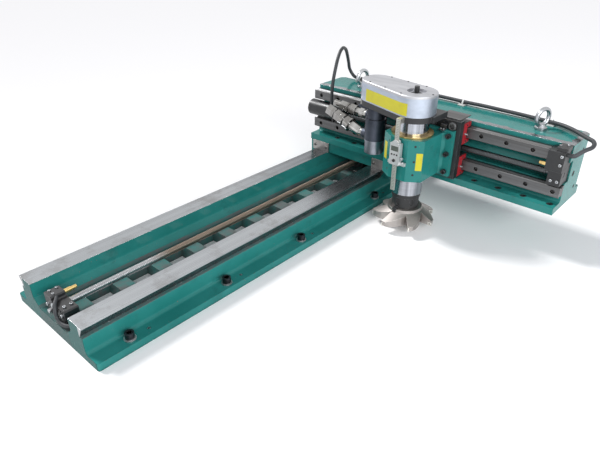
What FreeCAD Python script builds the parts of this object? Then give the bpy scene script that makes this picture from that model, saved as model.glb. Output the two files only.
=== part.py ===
import FreeCAD, Part
import math
import os

import Sketcher
from FreeCAD import Placement, Rotation, Vector

# Small two-axis milling machine: a floor bed with dovetail ways, a cross beam that slides
# along it, and a carriage on the beam with a quill, a belt drive and a face cutter.
# Millimetres. +X runs along the beam to its long side, +Y along the bed to its drive end,
# +Z up. The origin is the centre of the bed's base.

MEASURES = [
    ("fitGap", 0.3, "running clearance of guided faces"),
    ("bedLength", 1500, "bed casting, end to end"),
    ("flangeWidth", 49, "fixing flange, wall to edge"),
    ("bedHeight", 100, "base to the top of the ways"),
    ("flangeThick", 22, "fixing flange"),
    ("wayReach", 156, "centre line to the outer edge of a way"),
    ("wayWidth", 60, "flat top of a way"),
    ("wayEdge", 3, "upright edge above the dovetail"),
    ("dovetailDepth", 30, "top of a way to the ledge under it"),
    ("dovetailAngle", 60, "dovetail flank, degrees from level"),
    ("ledgeWidth", 10.6, "ledge under the dovetail, flank to wall"),
    ("channelDepth", 60, "top of the ways to the floor between them"),
    ("channelReach", 66, "half the flat floor between the ways"),
    ("kneeDepth", 40, "top of the ways to where the inner wall starts to slope"),
    ("wallFillet", 10, "casting fillet at the foot of a wall"),
    ("windowLength", 78, "opening in the floor, along the bed"),
    ("windowWidth", 100, "opening in the floor, across the bed"),
    ("windowPitch", 122, "from one opening to the next"),
    ("windowFirst", 140, "bed end to the middle of the first opening"),
    ("boltInset", 23, "flange edge to the fixing bolts"),
    ("boltEnd", 100, "bed end to the nearest fixing bolt"),
    ("boltPitch", 305, "spacing of the next fixing bolts"),
    ("boltFar", 400, "drive end to the second fixing bolt"),
    ("boltBore", 17.5, "clearance hole for a fixing bolt"),
    ("boltShank", 16, "fixing bolt"),
    ("boltHead", 24, "head of a fixing bolt"),
    ("washerWidth", 31, "washer of a fixing bolt"),
    ("washerThick", 3, "washer of a fixing bolt"),
    ("jackBore", 10, "levelling screw hole beside a bolt"),
    ("jackStep", 52, "fixing bolt to levelling hole"),
    ("screwDepth", 29, "top of the ways to the axis of the bed screw"),
    ("screwWidth", 20, "both lead screws"),
    ("journalWidth", 15, "bearing journal of both screws"),
    ("stubWidth", 11, "square-cut end of the bed screw"),
    ("nearBlockStart", 12, "bed end to the bearing block"),
    ("nearBlockThick", 38, "bearing block, along the bed"),
    ("nearBlockHalf", 48, "half the bearing block, across the bed"),
    ("nearBlockHigh", 56, "shoulder of the block above the floor"),
    ("nearBlockLow", 42, "body of the block above the floor"),
    ("farBlockThick", 40, "drive end bearing block, along the bed"),
    ("farBlockEnd", 10, "drive end of the bed to its block"),
    ("bedMotorWidth", 80, "square body of the bed motor"),
    ("bedMotorLength", 130, "bed motor without its coupling"),
    ("couplingLength", 34, "coupling housing before a motor"),
    ("sensorWidth", 12, "limit sensor barrel"),
    ("sensorLength", 34, "bed limit sensor, barrel and tip"),
    ("beamSensorLength", 20, "beam limit sensor, barrel and tip"),
    ("beamStand", 340, "drive end of the bed to the front of the beam foot"),
    ("saddleThick", 38, "top of the ways to the beam"),
    ("saddleSkirt", 22, "way edge to the outer side of the saddle"),
    ("saddleStart", 5, "front of the beam foot to the saddle"),
    ("saddleEnd", 204, "front of the beam foot to the saddle's back"),
    ("gibWidth", 10, "taper gib in the right flank"),
    ("wiperThick", 5, "way wiper plate"),
    ("wiperWidth", 76, "way wiper plate"),
    ("wiperScrews", 54, "between the screws of a wiper"),
    ("beamLength", 932, "beam casting"),
    ("beamHeight", 202, "beam casting"),
    ("footReach", 49, "rail seat to the front of the beam foot"),
    ("footThick", 22, "front edge of the beam foot"),
    ("footRise", 1, "slope of the foot's top"),
    ("footBore", 20, "screw pocket in the foot"),
    ("footPocket", 10, "depth of a screw pocket"),
    ("beamDepth", 155, "rail seat to the back of the lip"),
    ("lipDepth", 15, "lip along the foot of the back"),
    ("lipHeight", 27, "lip along the foot of the back"),
    ("backBevel", 12, "bevel of the upright back corners"),
    ("grooveDepth", 26, "channel behind the beam screw"),
    ("grooveHeight", 66, "channel behind the beam screw"),
    ("coreWidth", 140, "pocket between the ribs of the back"),
    ("coreWall", 14, "top wall and front wall of the pockets"),
    ("ribThick", 10, "rib between two pockets"),
    ("coreRound", 12, "casting radius in a pocket"),
    ("railWidth", 34, "linear rail, size 35"),
    ("railHeight", 29, "linear rail, size 35"),
    ("railHole", 14, "counterbore of a rail screw"),
    ("railPitch", 80, "rail screw spacing"),
    ("lowerRail", 63, "beam underside to the lower rail's middle"),
    ("railSpacing", 108, "between the rails' middles"),
    ("railStop", 56, "long end of the beam to the upper rail's end"),
    ("endPlate", 4, "beam end to the bearing block of the screw"),
    ("blockWidth", 70, "bearing block across its rail"),
    ("blockLength", 106, "bearing block along its rail"),
    ("blockHeight", 55, "rail seat to the face of a bearing block"),
    ("blockLift", 7, "rail seat to the feet of a bearing block"),
    ("sealThick", 4, "red end seal of a bearing block"),
    ("carriagePlace", 330, "bed centre line to the carriage's middle"),
    ("blockGap", 4, "between the two bearing blocks of a rail"),
    ("blockScrews", 50, "screw spacing of a bearing block"),
    ("plateThick", 22, "carriage plate"),
    ("plateBelow", 35, "lower rail's middle to the plate's lower edge"),
    ("plateHeight", 189, "carriage plate"),
    ("quillReach", 82, "carriage plate to the quill's axis"),
    ("quillWidth", 98, "chromed quill"),
    ("quillDrop", 62, "underside of the head casting to the quill's lower end"),
    ("quillLength", 243, "chromed quill"),
    ("headHalf", 70.6, "quill axis to the sides of the head casting"),
    ("headFacet", 30.7, "half the front facet"),
    ("headCorner", 43, "quill axis to where the side facets end"),
    ("headLift", 18, "lower edge of the carriage plate to the head casting"),
    ("headHeight", 134, "head casting"),
    ("earHalf", 103, "half the bolted foot of the head casting"),
    ("earThick", 16, "bolted foot of the head casting"),
    ("earOver", 8, "foot above and below the head casting"),
    ("earBolt", 90, "quill axis to the foot's bolts"),
    ("ringWidth", 129, "bronze guide ring"),
    ("ringThick", 5, "bronze guide ring"),
    ("beltPlate", 18, "black plate under the belt cover"),
    ("coverHeight", 64, "belt cover"),
    ("coverBig", 64, "cover radius round the quill"),
    ("coverSmall", 52, "cover radius round the motor"),
    ("motorAway", 162, "quill axis to motor axis, along the beam"),
    ("motorBack", 35, "quill axis to motor axis, along the bed"),
    ("motorWidth", 68, "drive motor housing"),
    ("motorFlange", 84, "square flange of the drive motor"),
    ("motorCap", 42, "end cap of the drive motor"),
    ("motorCase", 76, "middle of the drive motor"),
    ("motorLength", 165, "drive motor under the belt plate"),
    ("portReach", 46, "motor axis to the face of the lower port"),
    ("portWidth", 30, "boss of a port"),
    ("portSide", 37, "motor axis to the upper port, along the bed"),
    ("lowerPort", 109, "belt plate to the lower port"),
    ("upperPort", 58, "belt plate to the upper port"),
    ("lowerTilt", 19.5, "rise of the lower fittings, degrees"),
    ("upperTilt", 5, "rise of the upper fittings, degrees"),
    ("spindleWidth", 56, "spindle in the quill"),
    ("noseWidth", 92, "collar at the top of the spindle nose"),
    ("noseCollar", 13, "collar at the top of the spindle nose"),
    ("noseBody", 86, "spindle nose"),
    ("noseNotch", 12, "spanner notch in the nose"),
    ("keyWidth", 14, "driving key of the cutter"),
    ("keyTurn", 85, "driving keys from the beam's direction, degrees"),
    ("cutterDrop", 82, "quill's lower end to the top of the cutter's rim"),
    ("cutterThick", 16, "cutter body at the rim"),
    ("cutterWidth", 204, "over the tooth tips"),
    ("cutterCore", 124, "cutter body at the roots of the teeth"),
    ("hubRise", 31, "cutter's rim to the top of its hub"),
    ("hubWidth", 110, "hub of the cutter"),
    ("hubRecess", 5, "seat of the nose in the hub"),
    ("toothTurn", 1.4, "first tooth from the beam's direction, degrees"),
    ("toothCount", 7, "teeth"),
    ("insertWidth", 12.7, "square carbide insert"),
    ("insertThick", 4.5, "square carbide insert"),
    ("insertHole", 4.4, "square carbide insert"),
    ("drawbarWidth", 15, "drawbar end"),
    ("scaleReach", 85, "quill axis to the scale bar"),
    ("scaleWidth", 14, "scale bar"),
    ("scaleThick", 4, "scale bar"),
    ("scaleRise", 31, "quill's lower end to the scale bar's lower end"),
    ("readerWidth", 34, "scale reader"),
    ("readerHeight", 68, "scale reader"),
    ("readerThick", 16, "scale reader"),
    ("readerLift", 56, "underside of the head casting to the scale reader"),
    ("eyeShort", 145, "short end of the beam to its eye bolt"),
    ("eyeLong", 124, "long end of the beam to its eye bolt"),
    ("eyeRing", 25, "radius of an eye bolt's ring"),
    ("eyeBar", 13, "thickness of an eye bolt's ring"),
    ("plugWidth", 20, "hose plug of the beam motor"),
    ("plugHigh", 34, "motor axis to the top of its plug"),
    ("cableWidth", 12, "wiring hose on the beam"),
    ("clipThick", 4, "clip base under the wiring hose"),
    ("clipLength", 24, "clip base under the wiring hose"),
]


class Size:
    # A measure that keeps the sheet formula it comes from.
    def __init__(self, value, formula):
        self.value = value
        self.formula = formula

    def joined(self, other, sign, value):
        return Size(value, "(" + self.formula + " " + sign + " " + formulaOf(other) + ")")

    def __add__(self, other):
        return self.joined(other, "+", self.value + valueOf(other))

    def __sub__(self, other):
        return self.joined(other, "-", self.value - valueOf(other))

    def __mul__(self, other):
        return self.joined(other, "*", self.value * valueOf(other))

    def __truediv__(self, other):
        return self.joined(other, "/", self.value / valueOf(other))

    def __radd__(self, other):
        return sized(other) + self

    def __rsub__(self, other):
        return sized(other) - self

    def __rmul__(self, other):
        return sized(other) * self

    def __rtruediv__(self, other):
        return sized(other) / self

    def __neg__(self):
        return 0 - self


def formulaOf(measure):
    return measure.formula if isinstance(measure, Size) else "(" + repr(float(measure)) + ")"


def valueOf(measure):
    return measure.value if isinstance(measure, Size) else float(measure)


def sized(number):
    return Size(valueOf(number), formulaOf(number))


def tangent(angle):
    return Size(math.tan(math.radians(angle.value)), "tan(" + angle.formula + " * 1 deg)")


def sine(angle):
    return Size(math.sin(math.radians(angle.value)), "sin(" + angle.formula + " * 1 deg)")


def cosine(angle):
    return Size(math.cos(math.radians(angle.value)), "cos(" + angle.formula + " * 1 deg)")


class Measures:
    pass


doc = FreeCAD.newDocument("MillingMachine")
sheet = doc.addObject("Spreadsheet::Sheet", "Sizes")
mm = Measures()
for row, (alias, value, meaning) in enumerate(MEASURES, start=1):
    sheet.set("A%d" % row, meaning)
    sheet.set("B%d" % row, str(value))
    sheet.setAlias("B%d" % row, alias)
    setattr(mm, alias, Size(float(value), "Sizes." + alias))
doc.recompute()

nodes = []


def bind(item, path, measure):
    item.setExpression(path, formulaOf(measure))


def place(item, x, y, z, turn=None):
    if turn is not None:
        item.Placement = Placement(Vector(0, 0, 0), turn)
    bind(item, "Placement.Base.x", x)
    bind(item, "Placement.Base.y", y)
    bind(item, "Placement.Base.z", z)


def keep(item, label):
    item.Label = label
    nodes.append(item)
    return item


# Plain shapes: each axis is a pair of low and high.
def block(name, x, y, z):
    box = doc.addObject("Part::Box", name)
    bind(box, "Length", x[1] - x[0])
    bind(box, "Width", y[1] - y[0])
    bind(box, "Height", z[1] - z[0])
    place(box, x[0], y[0], z[0])
    return box


X_WAY = Vector(1, 0, 0)
Y_WAY = Vector(0, 1, 0)
Z_WAY = Vector(0, 0, 1)
ALONG = {
    "x": Rotation(Y_WAY, 90),
    "y": Rotation(X_WAY, -90),
    "z": Rotation(),
}


def rod(name, axis, start, width, length):
    cylinder = doc.addObject("Part::Cylinder", name)
    bind(cylinder, "Radius", width / 2)
    bind(cylinder, "Height", length)
    place(cylinder, start[0], start[1], start[2], ALONG[axis])
    return cylinder


def cone(name, axis, start, widthLow, widthHigh, length):
    taper = doc.addObject("Part::Cone", name)
    bind(taper, "Radius1", widthLow / 2)
    bind(taper, "Radius2", widthHigh / 2)
    bind(taper, "Height", length)
    place(taper, start[0], start[1], start[2], ALONG[axis])
    return taper


def hexagon(name, axis, start, flats, length):
    prism = doc.addObject("Part::Prism", name)
    prism.Polygon = 6
    bind(prism, "Circumradius", flats / math.sqrt(3))
    bind(prism, "Height", length)
    place(prism, start[0], start[1], start[2], ALONG[axis])
    return prism


def torus(name, middle, ringRadius, barWidth, turn):
    # A standing ring, turned about its upright axis.
    ring = doc.addObject("Part::Torus", name)
    bind(ring, "Radius1", ringRadius)
    bind(ring, "Radius2", barWidth / 2)
    place(ring, middle[0], middle[1], middle[2], Rotation(Z_WAY, turn) * ALONG["y"])
    return ring


def fused(name, pieces):
    union = doc.addObject("Part::MultiFuse", name)
    union.Shapes = pieces
    return union


def cut(name, base, tools):
    tool = tools[0] if len(tools) == 1 else fused(name + "Tools", tools)
    rest = doc.addObject("Part::Cut", name)
    rest.Base = base
    rest.Tool = tool
    return rest


def grouped(name, pieces):
    group = doc.addObject("Part::Compound", name)
    group.Links = pieces
    return group


# Bodies with sketches on their own origin planes.
def newBody(label):
    body = doc.addObject("PartDesign::Body", label)
    return keep(body, label)


def newSketch(body, name, role, lift=0):
    plane = next(item for item in body.Origin.OriginFeatures if item.Role == role)
    sketch = body.newObject("Sketcher::SketchObject", name)
    sketch.AttachmentSupport = (plane, [""])
    sketch.MapMode = "FlatFace"
    bind(sketch, "AttachmentOffset.Base.z", lift)
    return sketch


def pin(sketch, edge, end, point):
    for kind, measure in (("DistanceX", point[0]), ("DistanceY", point[1])):
        index = sketch.addConstraint(
            Sketcher.Constraint(kind, -1, 1, edge, end, valueOf(measure)))
        sketch.setExpression("Constraints[%d]" % index, formulaOf(measure))


def polygon(sketch, corners):
    spots = [Vector(valueOf(x), valueOf(y), 0) for x, y in corners]
    first = sketch.GeometryCount
    count = len(corners)
    for index in range(count):
        line = Part.LineSegment(spots[index], spots[(index + 1) % count])
        sketch.addGeometry(line, False)
    for index in range(count):
        follower = first + (index + 1) % count
        sketch.addConstraint(Sketcher.Constraint("Coincident", first + index, 2, follower, 1))
    for index, corner in enumerate(corners):
        pin(sketch, first + index, 1, corner)


def rectangle(sketch, x, y):
    polygon(sketch, [(x[0], y[0]), (x[1], y[0]), (x[1], y[1]), (x[0], y[1])])


def circle(sketch, centre, width):
    middle = Vector(valueOf(centre[0]), valueOf(centre[1]), 0)
    edge = sketch.addGeometry(Part.Circle(middle, Vector(0, 0, 1), valueOf(width) / 2), False)
    pin(sketch, edge, 3, centre)
    index = sketch.addConstraint(Sketcher.Constraint("Diameter", edge, valueOf(width)))
    sketch.setExpression("Constraints[%d]" % index, formulaOf(width))


def beltOutline(sketch, big, bigRadius, small, smallRadius):
    # Two arcs joined by their outer tangents, the small one to the left of the big one.
    bigSpot = Vector(valueOf(big[0]), valueOf(big[1]), 0)
    smallSpot = Vector(valueOf(small[0]), valueOf(small[1]), 0)
    across = smallSpot - bigSpot
    lean = math.atan2(across.y, across.x)
    spread = math.acos((valueOf(bigRadius) - valueOf(smallRadius)) / across.Length)
    upper = lean - spread
    lower = lean + spread
    normal = Vector(0, 0, 1)
    bigArc = sketch.addGeometry(Part.ArcOfCircle(
        Part.Circle(bigSpot, normal, valueOf(bigRadius)), lower - 2 * math.pi, upper), False)
    smallArc = sketch.addGeometry(Part.ArcOfCircle(
        Part.Circle(smallSpot, normal, valueOf(smallRadius)), upper, lower), False)

    def rim(spot, radius, angle):
        return spot + Vector(math.cos(angle), math.sin(angle), 0) * valueOf(radius)

    upperLine = sketch.addGeometry(Part.LineSegment(
        rim(bigSpot, bigRadius, upper), rim(smallSpot, smallRadius, upper)), False)
    lowerLine = sketch.addGeometry(Part.LineSegment(
        rim(smallSpot, smallRadius, lower), rim(bigSpot, bigRadius, lower)), False)
    for arc, spot, radius in ((bigArc, big, bigRadius), (smallArc, small, smallRadius)):
        pin(sketch, arc, 3, spot)
        index = sketch.addConstraint(Sketcher.Constraint("Radius", arc, valueOf(radius)))
        sketch.setExpression("Constraints[%d]" % index, formulaOf(radius))
    sketch.addConstraint(Sketcher.Constraint("Tangent", bigArc, 2, upperLine, 1))
    sketch.addConstraint(Sketcher.Constraint("Tangent", upperLine, 2, smallArc, 1))
    sketch.addConstraint(Sketcher.Constraint("Tangent", smallArc, 2, lowerLine, 1))
    sketch.addConstraint(Sketcher.Constraint("Tangent", lowerLine, 2, bigArc, 1))


def pad(body, name, sketch, length, midplane=False, backwards=False):
    feature = body.newObject("PartDesign::Pad", name)
    feature.Profile = sketch
    bind(feature, "Length", length)
    feature.Midplane = midplane
    feature.Reversed = backwards
    return feature


def pocket(body, name, sketch, depth, midplane=False, backwards=False):
    feature = body.newObject("PartDesign::Pocket", name)
    feature.Profile = sketch
    bind(feature, "Length", depth)
    feature.Midplane = midplane
    feature.Reversed = backwards
    return feature


def uprightAxis(sketch):
    # A construction line along the quill's axis, as the first axis of the sketch.
    x = mm.carriagePlace
    line = sketch.addGeometry(Part.LineSegment(
        Vector(x.value, 0, 0), Vector(x.value, 100, 0)), True)
    pin(sketch, line, 1, (x, 0))
    pin(sketch, line, 2, (x, 100))


def turned(body, name, sketch):
    feature = body.newObject("PartDesign::Revolution", name)
    feature.Profile = sketch
    uprightAxis(sketch)
    feature.ReferenceAxis = (sketch, ["Axis0"])
    feature.Angle = 360
    body.Tip = feature
    return feature


def aroundQuill(body, name, features, count):
    sketch = newSketch(body, name + "Axis", "XZ_Plane", -quillLine)
    uprightAxis(sketch)
    pattern = body.newObject("PartDesign::PolarPattern", name)
    pattern.Originals = features
    pattern.Axis = (sketch, ["Axis0"])
    pattern.Angle = 360
    bind(pattern, "Occurrences", sized(count))
    body.Tip = pattern
    return pattern


def repeated(body, name, feature, sketch, axis, pitch, count):
    pattern = body.newObject("PartDesign::LinearPattern", name)
    pattern.Originals = [feature]
    pattern.Direction = (sketch, [axis])
    bind(pattern, "Length", pitch * (count - 1))
    pattern.Occurrences = count
    body.Tip = pattern
    return pattern


def rounded(body, name, feature, radius, chosen):
    doc.recompute()
    edges = ["Edge%d" % (index + 1)
             for index, edge in enumerate(feature.Shape.Edges) if chosen(edge)]
    fillet = body.newObject("PartDesign::Fillet", name)
    fillet.Base = (feature, edges)
    bind(fillet, "Radius", radius)
    return fillet


def chamfered(body, name, feature, width, chosen):
    doc.recompute()
    edges = ["Edge%d" % (index + 1)
             for index, edge in enumerate(feature.Shape.Edges) if chosen(edge)]
    bevel = body.newObject("PartDesign::Chamfer", name)
    bevel.Base = (feature, edges)
    bind(bevel, "Size", width)
    return bevel


def runsAlong(edge, axis):
    # True for a straight edge in the direction of the axis.
    if edge.Curve.TypeId != "Part::GeomLine":
        return False
    return abs(abs(edge.Curve.Direction.dot(axis)) - 1) < 1e-6


def passesNear(edge, x=None, y=None, z=None, slack=0.05):
    spot = edge.CenterOfMass
    for measure, found in ((x, spot.x), (y, spot.y), (z, spot.z)):
        if measure is not None and abs(valueOf(measure) - found) > slack:
            return False
    return True


def both(half):
    # The same size each side of the middle.
    return (-half, half)


def around(middle, width):
    return (middle - width / 2, middle + width / 2)


# Levels and planes that several pieces share.
nearEnd = -mm.bedLength / 2
farEnd = mm.bedLength / 2
undercut = (mm.dovetailDepth - mm.wayEdge) / tangent(mm.dovetailAngle)
wallSide = mm.wayReach - undercut + mm.ledgeWidth
flangeSide = wallSide + mm.flangeWidth
boltSide = flangeSide - mm.boltInset
ledgeHeight = mm.bedHeight - mm.dovetailDepth
channelFloor = mm.bedHeight - mm.channelDepth
channelKnee = mm.bedHeight - mm.kneeDepth
screwHeight = mm.bedHeight - mm.screwDepth
beamFront = farEnd - mm.beamStand
beamBottom = mm.bedHeight + mm.saddleThick
beamTop = beamBottom + mm.beamHeight
beamLeft = mm.wayReach + mm.saddleSkirt
beamEnd = mm.beamLength - beamLeft
seatPlane = beamFront + mm.footReach
lipBack = seatPlane + mm.beamDepth
beamBack = lipBack - mm.lipDepth
grooveBack = seatPlane + mm.grooveDepth
lowRail = beamBottom + mm.lowerRail
highRail = lowRail + mm.railSpacing
railFace = seatPlane - mm.railHeight
beamScrewHeight = (lowRail + highRail) / 2
plateBack = seatPlane - mm.blockHeight
plateFront = plateBack - mm.plateThick
beamScrewLine = seatPlane - 19
quillLine = plateFront - mm.quillReach
plateLow = lowRail - mm.plateBelow
plateHigh = plateLow + mm.plateHeight
plateWidth = (mm.blockLength + mm.sealThick * 2) * 2 + mm.blockGap
plateLeft = mm.carriagePlace - plateWidth / 2
plateRight = mm.carriagePlace + plateWidth / 2
quillSpot = (mm.carriagePlace, quillLine)
motorSpot = (mm.carriagePlace - mm.motorAway, quillLine + mm.motorBack)
headLow = plateLow + mm.headLift
headHigh = headLow + mm.headHeight
quillLow = headLow - mm.quillDrop
quillHigh = quillLow + mm.quillLength
cutterTop = quillLow - mm.cutterDrop
hubTop = cutterTop + mm.hubRise
scaleLow = quillLow + mm.scaleRise
readerLow = headLow + mm.readerLift
coverLow = quillHigh + mm.beltPlate
coverHigh = coverLow + mm.coverHeight
motorEnd = -beamLeft + 106
beamPlug = (motorEnd - mm.plugWidth / 2 - 2, beamScrewLine - 26)
screwBlock = (beamEnd - mm.railStop + mm.endPlate, beamEnd - mm.endPlate)
hubSeat = hubTop - mm.hubRecess


def boltPlaces():
    near = nearEnd + mm.boltEnd
    return [near, near + mm.boltPitch, near + mm.boltPitch * 2,
            farEnd - mm.boltFar, farEnd - mm.boltEnd]


def bedCasting():
    body = newBody("bed_casting")
    right = [
        (flangeSide, sized(0)),
        (flangeSide, mm.flangeThick),
        (wallSide, mm.flangeThick),
        (wallSide, ledgeHeight),
        (mm.wayReach - undercut, ledgeHeight),
        (mm.wayReach, mm.bedHeight - mm.wayEdge),
        (mm.wayReach, mm.bedHeight),
        (mm.wayReach - mm.wayWidth, mm.bedHeight),
        (mm.wayReach - mm.wayWidth, channelKnee),
        (mm.channelReach, channelFloor),
    ]
    left = [(-x, z) for x, z in reversed(right)]
    section = newSketch(body, "bedSection", "XZ_Plane")
    polygon(section, right + left)
    casting = pad(body, "bedPad", section, mm.bedLength, midplane=True)
    roots = rounded(body, "wallRoots", casting, mm.wallFillet, lambda edge: (
        runsAlong(edge, Y_WAY) and (
            passesNear(edge, x=wallSide, z=mm.flangeThick)
            or passesNear(edge, x=-wallSide, z=mm.flangeThick))))
    knees = rounded(body, "channelKnees", roots, mm.wallFillet, lambda edge: (
        runsAlong(edge, Y_WAY) and (
            passesNear(edge, x=mm.wayReach - mm.wayWidth, z=channelKnee)
            or passesNear(edge, x=mm.wayWidth - mm.wayReach, z=channelKnee))))
    count = int((mm.bedLength.value - 2 * mm.windowFirst.value) / mm.windowPitch.value) + 1
    opening = newSketch(body, "windowOutline", "XY_Plane")
    rectangle(opening, both(mm.windowWidth / 2),
              around(nearEnd + mm.windowFirst, mm.windowLength))
    window = pocket(body, "window", opening, channelFloor * 3, midplane=True)
    repeated(body, "windows", window, opening, "V_Axis", mm.windowPitch, count)
    holes = newSketch(body, "flangeHoles", "XY_Plane")
    rows = boltPlaces()
    for y in rows:
        for x in both(boltSide):
            circle(holes, (x, y), mm.boltBore)
    for y in rows[:-1]:
        for x in both(boltSide):
            circle(holes, (x, y + mm.jackStep), mm.jackBore)
    drilled = pocket(body, "boltHoles", holes, mm.bedHeight, midplane=True)
    body.Tip = drilled
    rounded(body, "flangeCorners", drilled, 8, lambda edge: (
        runsAlong(edge, Z_WAY) and abs(abs(edge.CenterOfMass.x) - flangeSide.value) < 0.1))


def capScrew(name, axis, seat, headWidth, headHigh, shankWidth=0, shankLength=0, inward=-1):
    # A socket head screw: seat is where the head rests, inward the way the shank goes.
    index = "xyz".index(axis)
    headStart = list(seat)
    shankStart = list(seat)
    if inward > 0:
        headStart[index] = seat[index] - headHigh
    solid = rod(name + "Head", axis, headStart, headWidth, headHigh)
    if shankLength:
        shankStart[index] = seat[index] + shankLength * (inward - 1) / 2
        shank = rod(name + "Shank", axis, shankStart, shankWidth, shankLength)
        solid = fused(name + "Solid", [solid, shank])
    socketStart = list(seat)
    depth = headHigh * 0.6
    if inward < 0:
        socketStart[index] = seat[index] + headHigh - depth
    else:
        socketStart[index] = seat[index] - headHigh
    socket = hexagon(name + "Socket", axis, socketStart, headWidth * 0.55, depth)
    return cut(name, solid, [socket])


def bedBolts():
    screws = []
    for index, y in enumerate(boltPlaces()):
        for side, x in enumerate(both(boltSide)):
            name = "bedBolt%d%d" % (index, side)
            washerTop = mm.flangeThick + mm.washerThick
            screw = capScrew(name + "Screw", "z", (x, y, washerTop), mm.boltHead,
                             mm.boltShank, mm.boltShank, washerTop - 1)
            washer = rod(name + "Washer", "z", (x, y, mm.flangeThick),
                         mm.washerWidth, mm.washerThick)
            screws.append(fused(name, [screw, washer]))
    return keep(grouped("bedBolts", screws), "bed_bolts")


def nearBlock():
    floor = channelFloor
    start = nearEnd + mm.nearBlockStart
    back = start + mm.nearBlockThick
    body = newBody("near_block")
    section = newSketch(body, "nearBlockSection", "XZ_Plane", -start)
    shoulder = -mm.nearBlockHalf / 4
    polygon(section, [
        (-mm.nearBlockHalf, floor),
        (mm.nearBlockHalf, floor),
        (mm.nearBlockHalf, floor + mm.nearBlockLow),
        (shoulder, floor + mm.nearBlockLow),
        (shoulder, floor + mm.nearBlockHigh),
        (-mm.nearBlockHalf, floor + mm.nearBlockHigh),
    ])
    casting = pad(body, "nearBlockPad", section, mm.nearBlockThick, backwards=True)
    bore = newSketch(body, "nearBlockBore", "XZ_Plane", -start)
    circle(bore, (0, screwHeight), mm.journalWidth + mm.fitGap * 2)
    bored = pocket(body, "nearBlockBored", bore, mm.nearBlockThick * 2, midplane=True)
    trimmed = chamfered(body, "nearBlockTrim", bored, 3, lambda edge: (
        runsAlong(edge, Y_WAY) and edge.CenterOfMass.z > valueOf(floor) + 10))
    body.Tip = trimmed
    return back


def nearSensor():
    x = -mm.nearBlockHalf / 2
    y = nearEnd + mm.nearBlockStart + mm.nearBlockThick
    z = channelFloor + mm.nearBlockHigh - 9
    barrel = rod("nearSensorBarrel", "y", (x, y, z), mm.sensorWidth, mm.sensorLength * 0.6)
    tip = rod("nearSensorTip", "y", (x, y, z), mm.sensorWidth - 2, mm.sensorLength)
    return keep(fused("nearSensor", [barrel, tip]), "near_sensor")


def leadScrew(label, axis, start, stub, journal, thread, tail):
    # One turned shaft: stub, journal, threaded middle and tail, given as lengths.
    index = "xyz".index(axis)
    pieces = []
    place0 = list(start)
    for part, (width, length) in enumerate((
            (mm.stubWidth, stub), (mm.journalWidth, journal),
            (mm.screwWidth, thread), (mm.journalWidth, tail))):
        pieces.append(rod(label + "Step%d" % part, axis, list(place0), width, length))
        place0[index] = place0[index] + length
    return keep(fused(label + "Shaft", pieces), label)


def bedScrew():
    start = nearEnd - 4
    blockStart = nearEnd + mm.nearBlockStart
    blockEnd = blockStart + mm.nearBlockThick
    farBlockStart = farEnd - mm.farBlockEnd - mm.farBlockThick
    return leadScrew("bed_screw", "y", (sized(0), start, screwHeight),
                     blockStart - start, mm.nearBlockThick + 1,
                     farBlockStart - blockEnd - 2,
                     mm.farBlockThick + mm.farBlockEnd + 12)


def farBlock():
    start = farEnd - mm.farBlockEnd - mm.farBlockThick
    base = block("farBlockBase", both(mm.nearBlockHalf),
                 (start, start + mm.farBlockThick),
                 (channelFloor, channelFloor + mm.nearBlockHigh))
    bore = rod("farBlockBore", "y", (0, start - 1, screwHeight),
               mm.journalWidth + mm.fitGap * 2, mm.farBlockThick + 2)
    return keep(cut("farBlock", base, [bore]), "far_block")


def bedMotor():
    # Coupling housing on the drive end's block, then a square motor beyond the bed.
    blockEnd = farEnd - mm.farBlockEnd
    half = mm.bedMotorWidth / 2
    low = screwHeight - half
    high = screwHeight + half
    housing = block("bedCoupling", both(half - 6), (farEnd, farEnd + mm.couplingLength),
                    (low + 6, high - 6))
    spigot = rod("bedSpigot", "y", (0, blockEnd, screwHeight), mm.bedMotorWidth * 0.7,
                 mm.farBlockEnd)
    start = farEnd + mm.couplingLength
    flange = block("bedMotorFlange", both(half), (start, start + 8), (low, high))
    case = block("bedMotorCase", both(half - 3), (start + 8, start + mm.bedMotorLength),
                 (low + 3, high - 3))
    plug = block("bedMotorPlug", (-14, 14),
                 (start + mm.bedMotorLength - 40, start + mm.bedMotorLength - 10),
                 (high - 3, high + 14))
    well = rod("bedMotorWell", "y", (0, blockEnd - 1, screwHeight),
               mm.journalWidth + 4, mm.farBlockEnd + mm.couplingLength - 4)
    return keep(cut("bedMotor", fused("bedMotorSolid", [housing, spigot, flange, case, plug]),
                    [well]), "bed_motor")


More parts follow.
